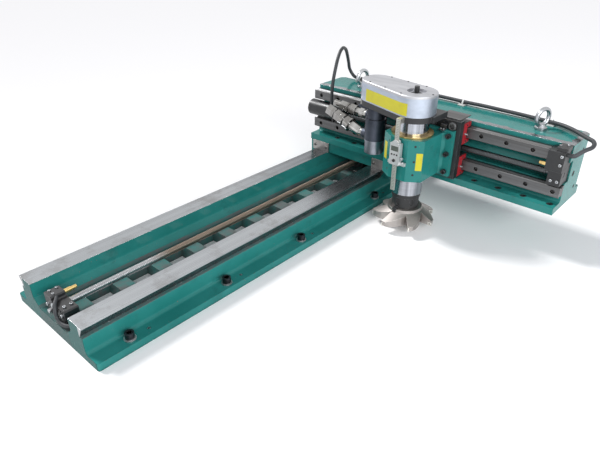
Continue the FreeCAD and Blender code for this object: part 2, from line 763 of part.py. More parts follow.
def saddle():
    body = newBody("saddle")
    gap = mm.fitGap
    leftOuter = mm.wayReach + mm.saddleSkirt
    rightOuter = leftOuter + mm.gibWidth
    low = ledgeHeight + 2
    short = (mm.bedHeight - mm.wayEdge - low) / tangent(mm.dovetailAngle)
    rightRoom = gap * 2 + mm.gibWidth
    section = newSketch(body, "saddleSection", "XZ_Plane", -(beamFront + mm.saddleStart))
    polygon(section, [
        (-leftOuter, low),
        (-(mm.wayReach + gap - short), low),
        (-(mm.wayReach + gap), mm.bedHeight - mm.wayEdge),
        (-(mm.wayReach + gap), mm.bedHeight + gap),
        (mm.wayReach + rightRoom, mm.bedHeight + gap),
        (mm.wayReach + rightRoom, mm.bedHeight - mm.wayEdge),
        (mm.wayReach + rightRoom - short, low),
        (rightOuter, low),
        (rightOuter, beamBottom),
        (-leftOuter, beamBottom),
    ])
    length = mm.saddleEnd - mm.saddleStart
    casting = pad(body, "saddlePad", section, length, backwards=True)
    body.Tip = casting
    gib = newBody("saddle_gib")
    strip = newSketch(gib, "gibSection", "XZ_Plane", -(beamFront + mm.saddleStart - 3))
    polygon(strip, [
        (mm.wayReach + gap - short, low),
        (mm.wayReach + gap - short + mm.gibWidth, low),
        (mm.wayReach + gap + mm.gibWidth, mm.bedHeight - mm.wayEdge),
        (mm.wayReach + gap + mm.gibWidth, mm.bedHeight),
        (mm.wayReach + gap, mm.bedHeight),
        (mm.wayReach + gap, mm.bedHeight - mm.wayEdge),
    ])
    pad(gib, "gibPad", strip, length + 6, backwards=True)


def wayWipers():
    plates = []
    front = beamFront + mm.saddleStart - mm.wiperThick
    height = mm.bedHeight + mm.saddleThick / 2
    for name, inner in (("leftWiper", -mm.wayReach - 10),
                        ("rightWiper", mm.wayReach + mm.saddleSkirt + mm.gibWidth
                         - mm.wiperWidth)):
        plate = block(name + "Plate", (inner, inner + mm.wiperWidth),
                      (front, front + mm.wiperThick),
                      (mm.bedHeight + mm.fitGap, beamBottom - 1))
        screws = [plate]
        for side, x in enumerate(around(inner + mm.wiperWidth / 2, mm.wiperScrews)):
            screws.append(rod("%sScrew%d" % (name, side), "y", (x, front - 3, height),
                              sized(10), sized(4)))
        plates.append(fused(name, screws))
    return keep(grouped("wayWipers", plates), "way_wipers")


def bedNut():
    # The nut bracket hangs from the saddle into the channel, round the bed screw.
    middle = beamFront + 90
    length = 56
    bracket = block("bedNutBracket", both(sized(30)), around(middle, sized(length)),
                    (screwHeight - 21, mm.bedHeight + mm.fitGap))
    flange = rod("bedNutFlange", "y", (0, middle - 36, screwHeight), sized(42), sized(12))
    bore = rod("bedNutBore", "y", (0, middle - 40, screwHeight),
               mm.screwWidth + mm.fitGap * 2, sized(length + 24))
    return keep(cut("bedNut", fused("bedNutSolid", [bracket, flange]), [bore]), "bed_nut")


def footTop():
    return beamBottom + mm.footThick + mm.footRise


def footBoltFirst():
    # The foot's screws stand in line with the rail's.
    return mm.carriagePlace + 4 - mm.railPitch * 5


def footBoltCount():
    return int((beamEnd.value - footBoltFirst().value - 10) / mm.railPitch.value) + 1


def beamCasting():
    # A foot and a screw channel in front, ribbed pockets and a lip behind.
    body = newBody("beam_casting")
    grooveLow = beamScrewHeight - mm.grooveHeight / 2
    grooveHigh = beamScrewHeight + mm.grooveHeight / 2
    lipTop = beamBottom + mm.lipHeight
    section = newSketch(body, "beamSection", "YZ_Plane", -beamLeft)
    polygon(section, [
        (beamFront, beamBottom),
        (lipBack, beamBottom),
        (lipBack, lipTop),
        (beamBack, lipTop),
        (beamBack, beamTop),
        (seatPlane, beamTop),
        (seatPlane, grooveHigh),
        (grooveBack, grooveHigh),
        (grooveBack, grooveLow),
        (seatPlane, grooveLow),
        (seatPlane, footTop()),
        (beamFront, beamBottom + mm.footThick),
    ])
    casting = pad(body, "beamPad", section, mm.beamLength)
    root = rounded(body, "footRoot", casting, 5, lambda edge: (
        runsAlong(edge, X_WAY) and passesNear(edge, y=seatPlane, z=footTop())))
    chamfered(body, "backBevels", root, mm.backBevel, lambda edge: (
        runsAlong(edge, Z_WAY) and passesNear(edge, y=beamBack, z=(lipTop + beamTop) / 2)))
    seats = newSketch(body, "footSeats", "XY_Plane", footTop() - mm.footPocket)
    circle(seats, (footBoltFirst(), beamFront + mm.footReach / 2), mm.footBore)
    seat = pocket(body, "footSeat", seats, mm.footPocket * 2, backwards=True)
    repeated(body, "footSeatRow", seat, seats, "H_Axis", mm.railPitch, footBoltCount())
    cell = newSketch(body, "coreCell", "XZ_Plane", -(grooveBack + mm.coreWall))
    endWall = mm.backBevel + 7
    first = endWall - beamLeft
    rectangle(cell, (first, first + mm.coreWidth),
              (lipTop + 6, beamTop - mm.coreWall))
    core = pocket(body, "coreCut", cell, mm.beamDepth, backwards=False)
    pitch = mm.coreWidth + mm.ribThick
    room = mm.beamLength - endWall * 2 + mm.ribThick
    cores = repeated(body, "cores", core, cell, "H_Axis", pitch,
                     int(room.value / pitch.value))
    rounded(body, "coreCorners", cores, mm.coreRound, lambda edge: (
        runsAlong(edge, Y_WAY)
        and passesNear(edge, y=(grooveBack + mm.coreWall + beamBack) / 2)))


def rail(label, height, length):
    # A rail has waisted sides and counterbored screw holes at an even pitch.
    body = newBody(label)
    half = mm.railWidth / 2
    section = newSketch(body, label + "Section", "YZ_Plane", -beamLeft)
    profile = [
        (seatPlane, height - half),
        (seatPlane, height + half),
        (seatPlane - mm.railHeight * 0.35, height + half),
        (seatPlane - mm.railHeight * 0.5, height + half - 4),
        (seatPlane - mm.railHeight * 0.78, height + half - 4),
        (railFace + 2, height + half),
        (railFace, height + half - 2),
        (railFace, height - half + 2),
        (railFace + 2, height - half),
        (seatPlane - mm.railHeight * 0.78, height - half + 4),
        (seatPlane - mm.railHeight * 0.5, height - half + 4),
        (seatPlane - mm.railHeight * 0.35, height - half),
    ]
    polygon(section, profile)
    pad(body, label + "Pad", section, length)
    hole = newSketch(body, label + "Hole", "XZ_Plane", -railFace)
    first = mm.carriagePlace + 4 - mm.railPitch * 6
    count = int((length.value - first.value - beamLeft.value - 10) / mm.railPitch.value) + 1
    circle(hole, (first, height), mm.railHole)
    counterbore = pocket(body, label + "Bore", hole, 12, backwards=False)
    bores = repeated(body, label + "Bores", counterbore, hole, "H_Axis", mm.railPitch, count)
    return bores


def beamScrew():
    # From the motor coupling near the short end to the long end's bearing block.
    start = motorEnd
    thread = screwBlock[0] - start - 37
    return leadScrew("beam_screw", "x", (start, beamScrewLine, beamScrewHeight),
                     sized(6), sized(30), thread, sized(48))


def rightBlock():
    # Bearing block with a shoulder over the rail's end and a cap on top.
    left, right = screwBlock
    front = beamScrewLine - 28
    half = mm.grooveHeight / 2 - 1
    body = block("rightBlockBody", (left + 10, right), (front + 10, grooveBack),
                 (beamScrewHeight - half, beamScrewHeight + half))
    shoulder = block("rightBlockShoulder", (left, right), (front, seatPlane),
                     (beamScrewHeight + 14, highRail + 20))
    cap = block("rightBlockCap", (left + 20, right + 2), (front + 4, seatPlane),
                (highRail + 20, highRail + 32))
    bore = rod("rightBlockBore", "x", (left - 1, beamScrewLine, beamScrewHeight),
               mm.journalWidth + mm.fitGap * 2, right - left + 2)
    return keep(cut("rightBlock", fused("rightBlockSolid", [body, shoulder, cap]), [bore]),
                "right_block")


def leftBlock():
    # Motor plate and bearing in the groove at the short end.
    thick = 34
    half = mm.grooveHeight / 2 - 1
    body = block("leftBlockBody", (motorEnd, motorEnd + thick),
                 (beamScrewLine - 22, grooveBack), around(beamScrewHeight, half * 2))
    bore = rod("leftBlockBore", "x", (motorEnd - 1, beamScrewLine, beamScrewHeight),
               mm.journalWidth + mm.fitGap * 2, sized(thick + 2))
    return keep(cut("leftBlock", body, [bore]), "left_block")


def beamMotor():
    width = sized(58)
    flangeThick = 6
    left = -beamLeft - 18
    right = motorEnd - flangeThick
    case = rod("beamMotorCase", "x", (left, beamScrewLine, beamScrewHeight), width,
               right - left)
    flange = block("beamMotorFlange", (right, motorEnd),
                   around(beamScrewLine, width), around(beamScrewHeight, width + 2))
    plug = rod("beamMotorPlug", "z", (*beamPlug, beamScrewHeight), mm.plugWidth, mm.plugHigh)
    return keep(fused("beamMotor", [case, flange, plug]), "beam_motor")


def beamSensor():
    x = screwBlock[0] - mm.beamSensorLength
    z = highRail - mm.railWidth / 2 - 10
    y = beamScrewLine - 16
    barrel = rod("beamSensorBarrel", "x", (x + mm.beamSensorLength * 0.4, y, z),
                 mm.sensorWidth, mm.beamSensorLength * 0.6)
    tip = rod("beamSensorTip", "x", (x, y, z), mm.sensorWidth - 2, mm.beamSensorLength)
    return keep(fused("beamSensor", [barrel, tip]), "beam_sensor")


def footBolts():
    # Cap screws sunk in the beam's foot, under the lower rail.
    screws = []
    for index in range(footBoltCount()):
        x = footBoltFirst() + mm.railPitch * index
        y = beamFront + mm.footReach / 2
        seat = footTop() - mm.footPocket
        name = "footBolt%d" % index
        head = rod(name + "Head", "z", (x, y, seat), mm.footBore - 3, mm.footPocket - 1)
        socket = hexagon(name + "Socket", "z", (x, y, seat + 3), mm.footBore / 2, mm.footPocket)
        screws.append(cut(name, head, [socket]))
    return keep(grouped("footBolts", screws), "foot_bolts")


def bearingBlock(name, left, height):
    # Square block round a rail, open towards the rail seat.
    half = mm.blockWidth / 2
    back = seatPlane - mm.blockLift
    body = block(name + "Body", (left, left + mm.blockLength), (plateBack, back),
                 (height - half, height + half))
    room = mm.railWidth / 2 + 1
    slot = block(name + "Slot", (left - 1, left + mm.blockLength + 1),
                 (railFace - 1, back + 1), (height - room, height + room))
    return cut(name, body, [slot])


def sealPlate(name, left, height):
    half = mm.blockWidth / 2 - 2
    back = seatPlane - mm.blockLift - 1
    body = block(name + "Body", (left, left + mm.sealThick), (plateBack + 2, back),
                 (height - half, height + half))
    room = mm.railWidth / 2 + 1
    slot = block(name + "Slot", (left - 1, left + mm.sealThick + 1),
                 (railFace - 1, back + 1), (height - room, height + room))
    return cut(name, body, [slot])


def carriageRunners():
    seals = []
    for label, height in (("upper_blocks", highRail), ("lower_blocks", lowRail)):
        blocks = []
        for side, left in (("Left", plateLeft + mm.sealThick),
                           ("Right", plateRight - mm.sealThick - mm.blockLength)):
            blocks.append(bearingBlock(label + side, left, height))
            seals.append(sealPlate(label + side + "Near", left - mm.sealThick, height))
            seals.append(sealPlate(label + side + "Far", left + mm.blockLength, height))
        keep(grouped(label + "Pair", blocks), label)
    keep(grouped("blockSeals", seals), "block_seals")


def carriagePlate():
    body = newBody("carriage_plate")
    face = newSketch(body, "plateOutline", "XZ_Plane", -plateFront)
    rectangle(face, (plateLeft, plateRight), (plateLow, plateHigh))
    pad(body, "platePad", face, mm.plateThick, backwards=True)
    holes = newSketch(body, "plateHoles", "XZ_Plane", -plateFront)
    toBlock = mm.sealThick + mm.blockLength / 2
    for height in (lowRail, highRail):
        for middle in (plateLeft + toBlock, plateRight - toBlock):
            for x in around(middle, mm.blockScrews):
                for z in around(height, mm.blockScrews):
                    circle(holes, (x, z), sized(14))
    body.Tip = pocket(body, "plateDrilled", holes, 9)


def beamNut():
    length = 60
    x = mm.carriagePlace - length / 2
    body = rod("beamNutBody", "x", (x, beamScrewLine, beamScrewHeight), sized(34),
               sized(length))
    yoke = block("beamNutYoke", (x + 6, x + length - 6),
                 (plateBack, beamScrewLine - 8), around(beamScrewHeight, sized(32)))
    bore = rod("beamNutBore", "x", (x - 1, beamScrewLine, beamScrewHeight),
               mm.screwWidth + mm.fitGap * 2, sized(length + 2))
    return keep(cut("beamNut", fused("beamNutSolid", [body, yoke]), [bore]), "beam_nut")


def headCasting():
    # The quill's housing: faceted in front, a bolted foot and a rib each side behind.
    body = newBody("head_casting")
    x, y = quillSpot
    outline = newSketch(body, "headOutline", "XY_Plane", headLow)
    polygon(outline, [
        (x - mm.headFacet, y - mm.headHalf),
        (x + mm.headFacet, y - mm.headHalf),
        (x + mm.headHalf, y - mm.headCorner),
        (x + mm.headHalf, plateFront),
        (x - mm.headHalf, plateFront),
        (x - mm.headHalf, y - mm.headCorner),
    ])
    pad(body, "headPad", outline, headHigh - headLow)
    foot = newSketch(body, "footOutline", "XZ_Plane", -plateFront)
    rectangle(foot, around(x, mm.earHalf * 2),
              (headLow - mm.earOver, headHigh + mm.earOver))
    pad(body, "earPad", foot, mm.earThick)
    web = newSketch(body, "earWebs", "XY_Plane", (headLow + headHigh) / 2)
    reach = (mm.earHalf - mm.headHalf) * 0.3
    for side in (-1, 1):
        inner = x + (mm.headHalf - 2) * side
        outer = x + (mm.headHalf + reach) * side
        back = plateFront - mm.earThick + 1
        corners = [(inner, back), (outer, back), (inner, back - reach)]
        polygon(web, corners if side > 0 else list(reversed(corners)))
    pad(body, "earWebPad", web, headHigh - headLow, midplane=True)
    bore = newSketch(body, "quillBore", "XY_Plane", headLow - mm.earOver)
    circle(bore, quillSpot, mm.quillWidth + mm.fitGap * 2)
    body.Tip = pocket(body, "quillBored", bore,
                      headHigh - headLow + mm.earOver * 2, backwards=True)


def headBolts():
    screws = []
    middle = (headLow + headHigh) / 2
    spread = (headHigh - headLow) / 2 - 8
    for side, x in enumerate(around(mm.carriagePlace, mm.earBolt * 2)):
        for index, z in enumerate((middle - spread, middle, middle + spread)):
            screws.append(capScrew("headBolt%d%d" % (side, index), "y",
                                   (x, plateFront - mm.earThick, z), sized(16), sized(10),
                                   inward=1))
    return keep(grouped("headBolts", screws), "head_bolts")


def quillRing():
    outer = rod("ringOuter", "z", (*quillSpot, headHigh), mm.ringWidth, mm.ringThick)
    inner = rod("ringInner", "z", (*quillSpot, headHigh - 1),
                mm.quillWidth + mm.fitGap * 2, mm.ringThick + 2)
    return keep(cut("quillRing", outer, [inner]), "quill_ring")


def carriageCover():
    # A plate over the carriage's right blocks, on the plate's top edge.
    length = 74
    x = plateRight - mm.blockGap * 2 - length
    plate = block("coverPlate", (x, x + length), (plateFront + 10, seatPlane),
                  (plateHigh, plateHigh + 3))
    return keep(plate, "carriage_cover")


def quillTube():
    outer = rod("quillOuter", "z", (*quillSpot, quillLow), mm.quillWidth,
                quillHigh - quillLow)
    inner = rod("quillInner", "z", (*quillSpot, quillLow - 1),
                mm.spindleWidth + mm.fitGap * 2, quillHigh - quillLow + 2)
    return keep(cut("quillTube", outer, [inner]), "quill")


def beltPlate():
    body = newBody("belt_plate")
    outline = newSketch(body, "beltPlateOutline", "XY_Plane", quillHigh)
    beltOutline(outline, quillSpot, mm.coverBig, motorSpot, mm.coverSmall)
    pad(body, "beltPlatePad", outline, mm.beltPlate)
    x, y = quillSpot
    corner = mm.coverBig + 8
    tongue = newSketch(body, "tongueOutline", "XY_Plane", quillHigh)
    rectangle(tongue, (x, x + corner), (y - 10, y + corner))
    pad(body, "tonguePad", tongue, mm.beltPlate)
    bore = newSketch(body, "beltPlateBore", "XY_Plane", quillHigh)
    circle(bore, quillSpot, mm.spindleWidth + 4)
    body.Tip = pocket(body, "beltPlateBored", bore, mm.beltPlate * 3, midplane=True)


def beltCover():
    body = newBody("belt_cover")
    outline = newSketch(body, "coverOutline", "XY_Plane", coverLow)
    beltOutline(outline, quillSpot, mm.coverBig, motorSpot, mm.coverSmall)
    solid = pad(body, "coverPad", outline, mm.coverHeight)
    rounded(body, "coverEdge", solid, 4, lambda item: (
        abs(item.CenterOfMass.z - valueOf(coverHigh)) < 0.1))
    dish = newSketch(body, "coverDish", "XY_Plane", coverHigh - 8)
    circle(dish, quillSpot, sized(57))
    pocket(body, "coverDished", dish, 20, backwards=True)
    bore = newSketch(body, "coverBore", "XY_Plane", coverLow)
    circle(bore, quillSpot, mm.drawbarWidth + 20)
    body.Tip = pocket(body, "coverBored", bore, mm.coverHeight, backwards=True)


def driveMotor():
    # Orbit motor under the belt plate: end cap, body, two ports and a square flange.
    x, y = motorSpot
    top = quillHigh
    low = top - mm.motorLength
    flangeThick = 8
    neck = low + mm.motorCap + mm.motorCase
    end = rod("motorEnd", "z", (x, y, low), mm.motorWidth - 4, mm.motorCap)
    case = rod("motorCase", "z", (x, y, low + mm.motorCap), mm.motorWidth, mm.motorCase)
    head = rod("motorHead", "z", (x, y, neck), mm.motorWidth - 8, top - neck)
    lower = rod("motorLowerPort", "x", (x - mm.portReach, y, top - mm.lowerPort),
                mm.portWidth + 4, mm.portReach)
    upperHeight = top - mm.upperPort
    upper = rod("motorUpperPort", "x", (*upperPortFace(), upperHeight), mm.portWidth,
                mm.portReach + 24)
    saddle = block("motorPortBlock", around(x, mm.portWidth),
                   (y, y + mm.portSide + 6), around(upperHeight, mm.portWidth))
    flange = block("motorFlange", around(x, mm.motorFlange), around(y, mm.motorFlange),
                   (top - flangeThick, top))
    return keep(fused("driveMotor", [end, case, head, lower, upper, saddle, flange]),
                "drive_motor")


def upperPortFace():
    x, y = motorSpot
    return (x - mm.portReach - 14, y + mm.portSide)


def tilted(name, kind, joint, tilt, start, width, length):
    # One turned or hexagonal piece on a line that rises away from its joint.
    if kind == "hexagon":
        piece = hexagon(name, "z", (0, 0, 0), width, length)
    else:
        piece = rod(name, "z", (0, 0, 0), width, length)
    turn = Rotation(Y_WAY, tilt.value - 90)
    place(piece, joint[0] - cosine(tilt) * start, joint[1], joint[2] + sine(tilt) * start, turn)
    return piece


def fittings(name, face, tilt, width, steps):
    # A swivel joint on the port, then fittings of the given widths and lengths.
    short = width / 2
    joint = (face[0] - short, face[1], face[2])
    ball = doc.addObject("Part::Sphere", name + "Ball")
    bind(ball, "Radius", width / 2)
    place(ball, *joint)
    pieces = [ball, rod(name + "Neck", "x", joint, width, short)]
    start = sized(0)
    for index, (kind, across, length) in enumerate(steps):
        pieces.append(tilted(name + "Step%d" % index, kind, joint, tilt, start,
                             sized(across), sized(length)))
        start = start + length
    return fused(name, pieces)


def hoseCouplings():
    x, y = motorSpot
    top = quillHigh
    lower = fittings("lowerFittings", (x - mm.portReach, y, top - mm.lowerPort),
                     mm.lowerTilt, mm.portWidth, [
                         ("round", 34, 42), ("round", 50, 6), ("round", 46, 16),
                         ("round", 30, 8), ("round", 41, 14), ("hexagon", 36, 24),
                         ("round", 30, 4), ("hexagon", 34, 32)])
    upper = fittings("upperFittings", (*upperPortFace(), top - mm.upperPort),
                     mm.upperTilt, mm.portWidth - 4, [
                         ("hexagon", 28, 16), ("round", 24, 16), ("hexagon", 32, 26),
                         ("round", 26, 6), ("hexagon", 30, 34), ("round", 24, 30)])
    return keep(grouped("hoseCouplings", [lower, upper]), "hose_couplings")


def scaleBar():
    x, y = quillSpot
    bar = block("scaleBarStrip", around(x, mm.scaleWidth),
                around(y - mm.scaleReach, mm.scaleThick), (scaleLow, coverLow))
    clamp = block("scaleBarClamp", around(x, mm.scaleWidth),
                  (y - mm.scaleReach + mm.scaleThick / 2, y - mm.coverBig),
                  (quillHigh + 2, coverLow))
    return keep(fused("scaleBar", [bar, clamp]), "scale_bar")


def scaleReader():
    x, y = quillSpot
    middle = y - mm.scaleReach
    low = readerLow
    foot = 6
    case = block("readerCase", around(x, mm.readerWidth), around(middle, mm.readerThick),
                 (low, low + mm.readerHeight))
    cap = rod("readerCap", "y", (x, middle - mm.readerThick / 2, low + mm.readerHeight),
              mm.readerWidth * 0.6, mm.readerThick)
    bracket = block("readerFoot", around(x, mm.readerWidth + 26),
                    (middle + mm.readerThick / 2 - 2, y - mm.headHalf), (low - 4, low + foot))
    slot = block("readerSlot", around(x, mm.scaleWidth + mm.fitGap * 2),
                 around(middle, mm.scaleThick + mm.fitGap * 2),
                 (low - 6, low + mm.readerHeight + mm.readerWidth))
    return keep(cut("scaleReader", fused("readerSolid", [case, cap, bracket]), [slot]),
                "scale_reader")


def aboutQuill(angle, radial, side):
    # The point at the given reach from the quill's axis, and to the side of that line.
    x, y = quillSpot
    return (x + cosine(angle) * radial - sine(angle) * side,
            y + sine(angle) * radial + cosine(angle) * side)


def spindleNose():
    # A spigot for the cutter's bore, a notched nose with driving keys, and the spindle.
    body = newBody("spindle_nose")
    profile = newSketch(body, "noseProfile", "XZ_Plane", -quillLine)
    x = mm.carriagePlace
    half = mm.spindleWidth / 2
    top = quillLow - mm.fitGap
    collarLow = top - mm.noseCollar
    ringLow = collarLow - 3
    seat = hubSeat + mm.fitGap
    polygon(profile, [
        (x, cutterTop - 8),
        (x + half, cutterTop - 8),
        (x + half, seat),
        (x + mm.noseBody / 2, seat),
        (x + mm.noseBody / 2, ringLow),
        (x + mm.noseBody / 2 + 1, ringLow),
        (x + mm.noseBody / 2 + 1, collarLow),
        (x + mm.noseWidth / 2, collarLow),
        (x + mm.noseWidth / 2, top),
        (x + half, top),
        (x + half, quillHigh + mm.beltPlate / 2),
        (x, quillHigh + mm.beltPlate / 2),
    ])
    turned(body, "noseTurned", profile)
    notch = newSketch(body, "noseNotchOutline", "XZ_Plane", -(quillLine - mm.noseWidth / 2))
    rectangle(notch, around(x, mm.noseNotch), (hubTop + 12, ringLow))
    one = pocket(body, "noseNotchCut", notch, mm.noseNotch / 2)
    aroundQuill(body, "noseNotches", [one], 6)
    keys = newSketch(body, "keyOutline", "XY_Plane", hubSeat - 6 + mm.fitGap)
    wide = mm.keyWidth / 2
    for angle in (mm.keyTurn, mm.keyTurn + 180):
        near = half - 1
        far = mm.hubWidth / 2 + 1
        polygon(keys, [
            aboutQuill(angle, near, -wide),
            aboutQuill(angle, far, -wide),
            aboutQuill(angle, far, wide),
            aboutQuill(angle, near, wide),
        ])
    body.Tip = pad(body, "keys", keys, hubTop - hubSeat + 10)


def cutterSpot(share, angle):
    # From the roots of the teeth (0) to their tips (1), turned by degrees from the step.
    core = mm.cutterCore / 2
    reach = core + (mm.cutterWidth / 2 - core) * share
    return aboutQuill(mm.toothTurn + angle, reach, 0)


def faceCutter():
    # A turned disc with a slotted hub; the spaces between the teeth are milled away, each
    # with a steep step for its insert and a long hollow back.
    body = newBody("face_cutter")
    x = mm.carriagePlace
    low = cutterTop - mm.cutterThick
    tip = mm.cutterWidth / 2
    bore = (mm.spindleWidth + mm.fitGap) / 2
    recess = mm.noseBody / 2 + mm.fitGap
    blank = newSketch(body, "cutterProfile", "XZ_Plane", -quillLine)
    polygon(blank, [
        (x + bore, low),
        (x + tip - 2, low),
        (x + tip, cutterTop),
        (x + mm.hubWidth / 2 + 1, hubTop - 9),
        (x + mm.hubWidth / 2, hubTop),
        (x + recess, hubTop),
        (x + recess, hubSeat),
        (x + bore, hubSeat),
    ])
    turned(body, "cutterTurned", blank)
    slot = newSketch(body, "keySlot", "XY_Plane", hubTop)
    reach = mm.hubWidth / 2 + 6
    wide = mm.keyWidth / 2 + mm.fitGap
    polygon(slot, [
        aboutQuill(mm.keyTurn, -reach, -wide),
        aboutQuill(mm.keyTurn, reach, -wide),
        aboutQuill(mm.keyTurn, reach, wide),
        aboutQuill(mm.keyTurn, -reach, wide),
    ])
    pocket(body, "keySlotCut", slot, hubTop - hubSeat + 6)
    step = 360 / mm.toothCount
    gullet = newSketch(body, "gulletOutline", "XY_Plane", low)
    polygon(gullet, [
        cutterSpot(1.6, 9.5), cutterSpot(0.97, 9.5), cutterSpot(0.75, 18),
        cutterSpot(0.48, 28), cutterSpot(0.23, 38.5), cutterSpot(0.06, 46.5),
        cutterSpot(0, 50), cutterSpot(0, step), cutterSpot(1.6, step),
    ])
    space = pocket(body, "gullet", gullet, hubTop, backwards=True)
    seat = newSketch(body, "insertSeat", "XY_Plane", low + mm.insertWidth + 0.1)
    polygon(seat, [
        aboutQuill(mm.toothTurn, tip - mm.insertWidth - 0.1, -1),
        aboutQuill(mm.toothTurn, tip + 4, -1),
        aboutQuill(mm.toothTurn, tip + 4, mm.insertThick),
        aboutQuill(mm.toothTurn, tip - mm.insertWidth - 0.1, mm.insertThick),
    ])
    seated = pocket(body, "insertSeatCut", seat, mm.cutterThick)
    aroundQuill(body, "teeth", [space, seated], mm.toothCount)


def cutterInserts():
    # Square carbide inserts in the steps of the teeth.
    low = cutterTop - mm.cutterThick - 1
    inner = mm.cutterWidth / 2 - mm.insertWidth + 0.5
    inserts = []
    for index in range(int(mm.toothCount.value)):
        angle = mm.toothTurn + 360 / mm.toothCount * index
        name = "insert%d" % index
        turn = Rotation(Z_WAY, angle.value)
        plate = doc.addObject("Part::Box", name + "Plate")
        bind(plate, "Length", mm.insertWidth)
        bind(plate, "Width", mm.insertThick)
        bind(plate, "Height", mm.insertWidth)
        place(plate, *aboutQuill(angle, inner, 0), low, turn)
        hole = doc.addObject("Part::Cylinder", name + "Hole")
        bind(hole, "Radius", mm.insertHole / 2)
        bind(hole, "Height", mm.insertThick + 2)
        place(hole, *aboutQuill(angle, inner + mm.insertWidth / 2, -1),
              low + mm.insertWidth / 2, turn * ALONG["y"])
        inserts.append(cut(name, plate, [hole]))
    return keep(grouped("cutterInserts", inserts), "cutter_inserts")


def drawbarEnd():
    x, y = quillSpot
    low = quillHigh + mm.beltPlate / 2
    bar = rod("drawbarRod", "z", (x, y, low), mm.drawbarWidth, coverHigh + 14 - low)
    flange = rod("drawbarFlange", "z", (x, y, coverHigh - 12), mm.drawbarWidth + 12, sized(6))
    return keep(fused("drawbar", [bar, flange]), "drawbar_end")


def eyeBolts():
    bolts = []
    middle = (seatPlane + beamBack) / 2
    for name, x, turn in (("Left", mm.eyeShort - beamLeft, 83),
                          ("Right", beamEnd - mm.eyeLong, 69)):
        collar = rod("eyeCollar" + name, "z", (x, middle, beamTop), sized(36), sized(7))
        neck = cone("eyeNeck" + name, "z", (x, middle, beamTop + 7), sized(30), sized(18),
                    sized(9))
        ring = torus("eyeRing" + name, (x, middle, beamTop + 12 + mm.eyeRing),
                     mm.eyeRing, mm.eyeBar, turn)
        bolts.append(fused("eyeBolt" + name, [collar, neck, ring]))
    return keep(grouped("eyeBolts", bolts), "eye_bolts")


def hose(label, route, width):
    # Straight runs joined by tangent arcs, each as large as its runs allow.
    points = [Vector(*(valueOf(item) for item in point)) for point in route]
    edges = []
    radii = []
    start = points[0]
    for before, corner, after in zip(points, points[1:], points[2:]):
        inward = (corner - before).normalize()
        outward = (after - corner).normalize()
        turn = inward.getAngle(outward)
        shorter = min((corner - before).Length, (after - corner).Length)
        reach = 0.45 * shorter
        radii.append(reach / math.tan(turn / 2))
        first = corner - inward * reach
        last = corner + outward * reach
        inside = (outward - inward).normalize()
        rise = radii[-1] / math.cos(turn / 2) - radii[-1]
        edges.append(Part.LineSegment(start, first).toShape())
        edges.append(Part.Arc(first, corner + inside * rise, last).toShape())
        start = last
    edges.append(Part.LineSegment(start, points[-1]).toShape())
    path = Part.Wire(edges)
    profile = Part.Wire(Part.Circle(points[0], points[1] - points[0],
                                    valueOf(width) / 2).toShape())
    tube = path.makePipeShell([profile], True, False)
    solid = doc.addObject("Part::Feature", label + "Tube")
    solid.Shape = tube
    section = math.pi * (valueOf(width) / 2) ** 2
    print(label, "length %.0f" % path.Length, "radii",
          ["%.0f" % radius for radius in radii],
          "volume ratio %.4f" % (tube.Volume / (section * path.Length)))
    return keep(solid, label)


def beamCable():
    # From the beam motor up in a loop, along the back of the beam and round its long end into
    # the bearing block.
    low = beamTop + mm.clipThick + mm.cableWidth / 2 + 0.3
    x, y = beamPlug
    rise = beamScrewHeight + mm.plugHigh
    back = beamBack
    right = beamEnd
    line = beamScrewLine
    route = [
        (x, y, rise),
        (x, y, rise + 45),
        (x + 3, y + 1, rise + 88),
        (x + 3, y + 12, rise + 128),
        (x - 3, y + 31, rise + 160),
        (x - 12, y + 56, rise + 182),
        (x - 21, y + 84, rise + 190),
        (x - 29, y + 112, rise + 177),
        (x - 38, y + 134, rise + 149),
        (x - 47, y + 155, rise + 118),
        (x - 54, back - 16, low + 33),
        (x - 47, back - 9, low + 14),
        (x - 32, back - 8, low + 1),
        (x - 10, back - 8, low),
        (x + 22, back - 9, low),
        (x + 82, back - 11, low),
        (x + 142, back - 9, low + 1),
        (x + 202, back - 12, low),
        (x + 262, back - 9, low),
        (x + 322, back - 11, low + 1),
        (x + 382, back - 8, low),
        (x + 442, back - 10, low),
        (x + 502, back - 9, low + 1),
        (x + 562, back - 8, low),
        (x + 622, back - 9, low),
        (right - 80, back - 20, low),
        (right - 38, back - 44, low + 1),
        (right + 8, back - 80, low),
        (right + 34, back - 98, low),
        (right + 43, back - 114, low - 3),
        (right + 43, line + 30, low - 8),
        (right + 30, line + 10, low - 14),
        (right + 14, line - 14, low - 29),
        (screwBlock[1], line - 14, low - 29),
    ]
    return hose("beam_cable", route, mm.cableWidth)


def cableClips():
    clips = []
    y = beamBack - 9
    for index, x in enumerate((beamPlug[0] - 2, mm.carriagePlace + 14, beamEnd - 113)):
        clips.append(block("clip%d" % index, around(x, mm.clipLength),
                           around(y, mm.clipLength - 7), (beamTop, beamTop + mm.clipThick)))
    return keep(grouped("cableClips", clips), "cable_clips")


bedCasting()
bedBolts()
nearBlock()
nearSensor()
bedScrew()
farBlock()
bedMotor()
saddle()
wayWipers()
bedNut()
beamCasting()
rail("upper_rail", highRail, mm.beamLength - mm.railStop)
rail("lower_rail", lowRail, mm.beamLength)
beamScrew()
rightBlock()
leftBlock()
beamMotor()
beamSensor()
footBolts()
carriageRunners()
carriagePlate()
beamNut()
headCasting()
headBolts()
quillRing()
carriageCover()
scaleReader()
quillTube()
beltPlate()
beltCover()
driveMotor()
hoseCouplings()
scaleBar()
spindleNose()
faceCutter()
cutterInserts()
drawbarEnd()
eyeBolts()
beamCable()
cableClips()

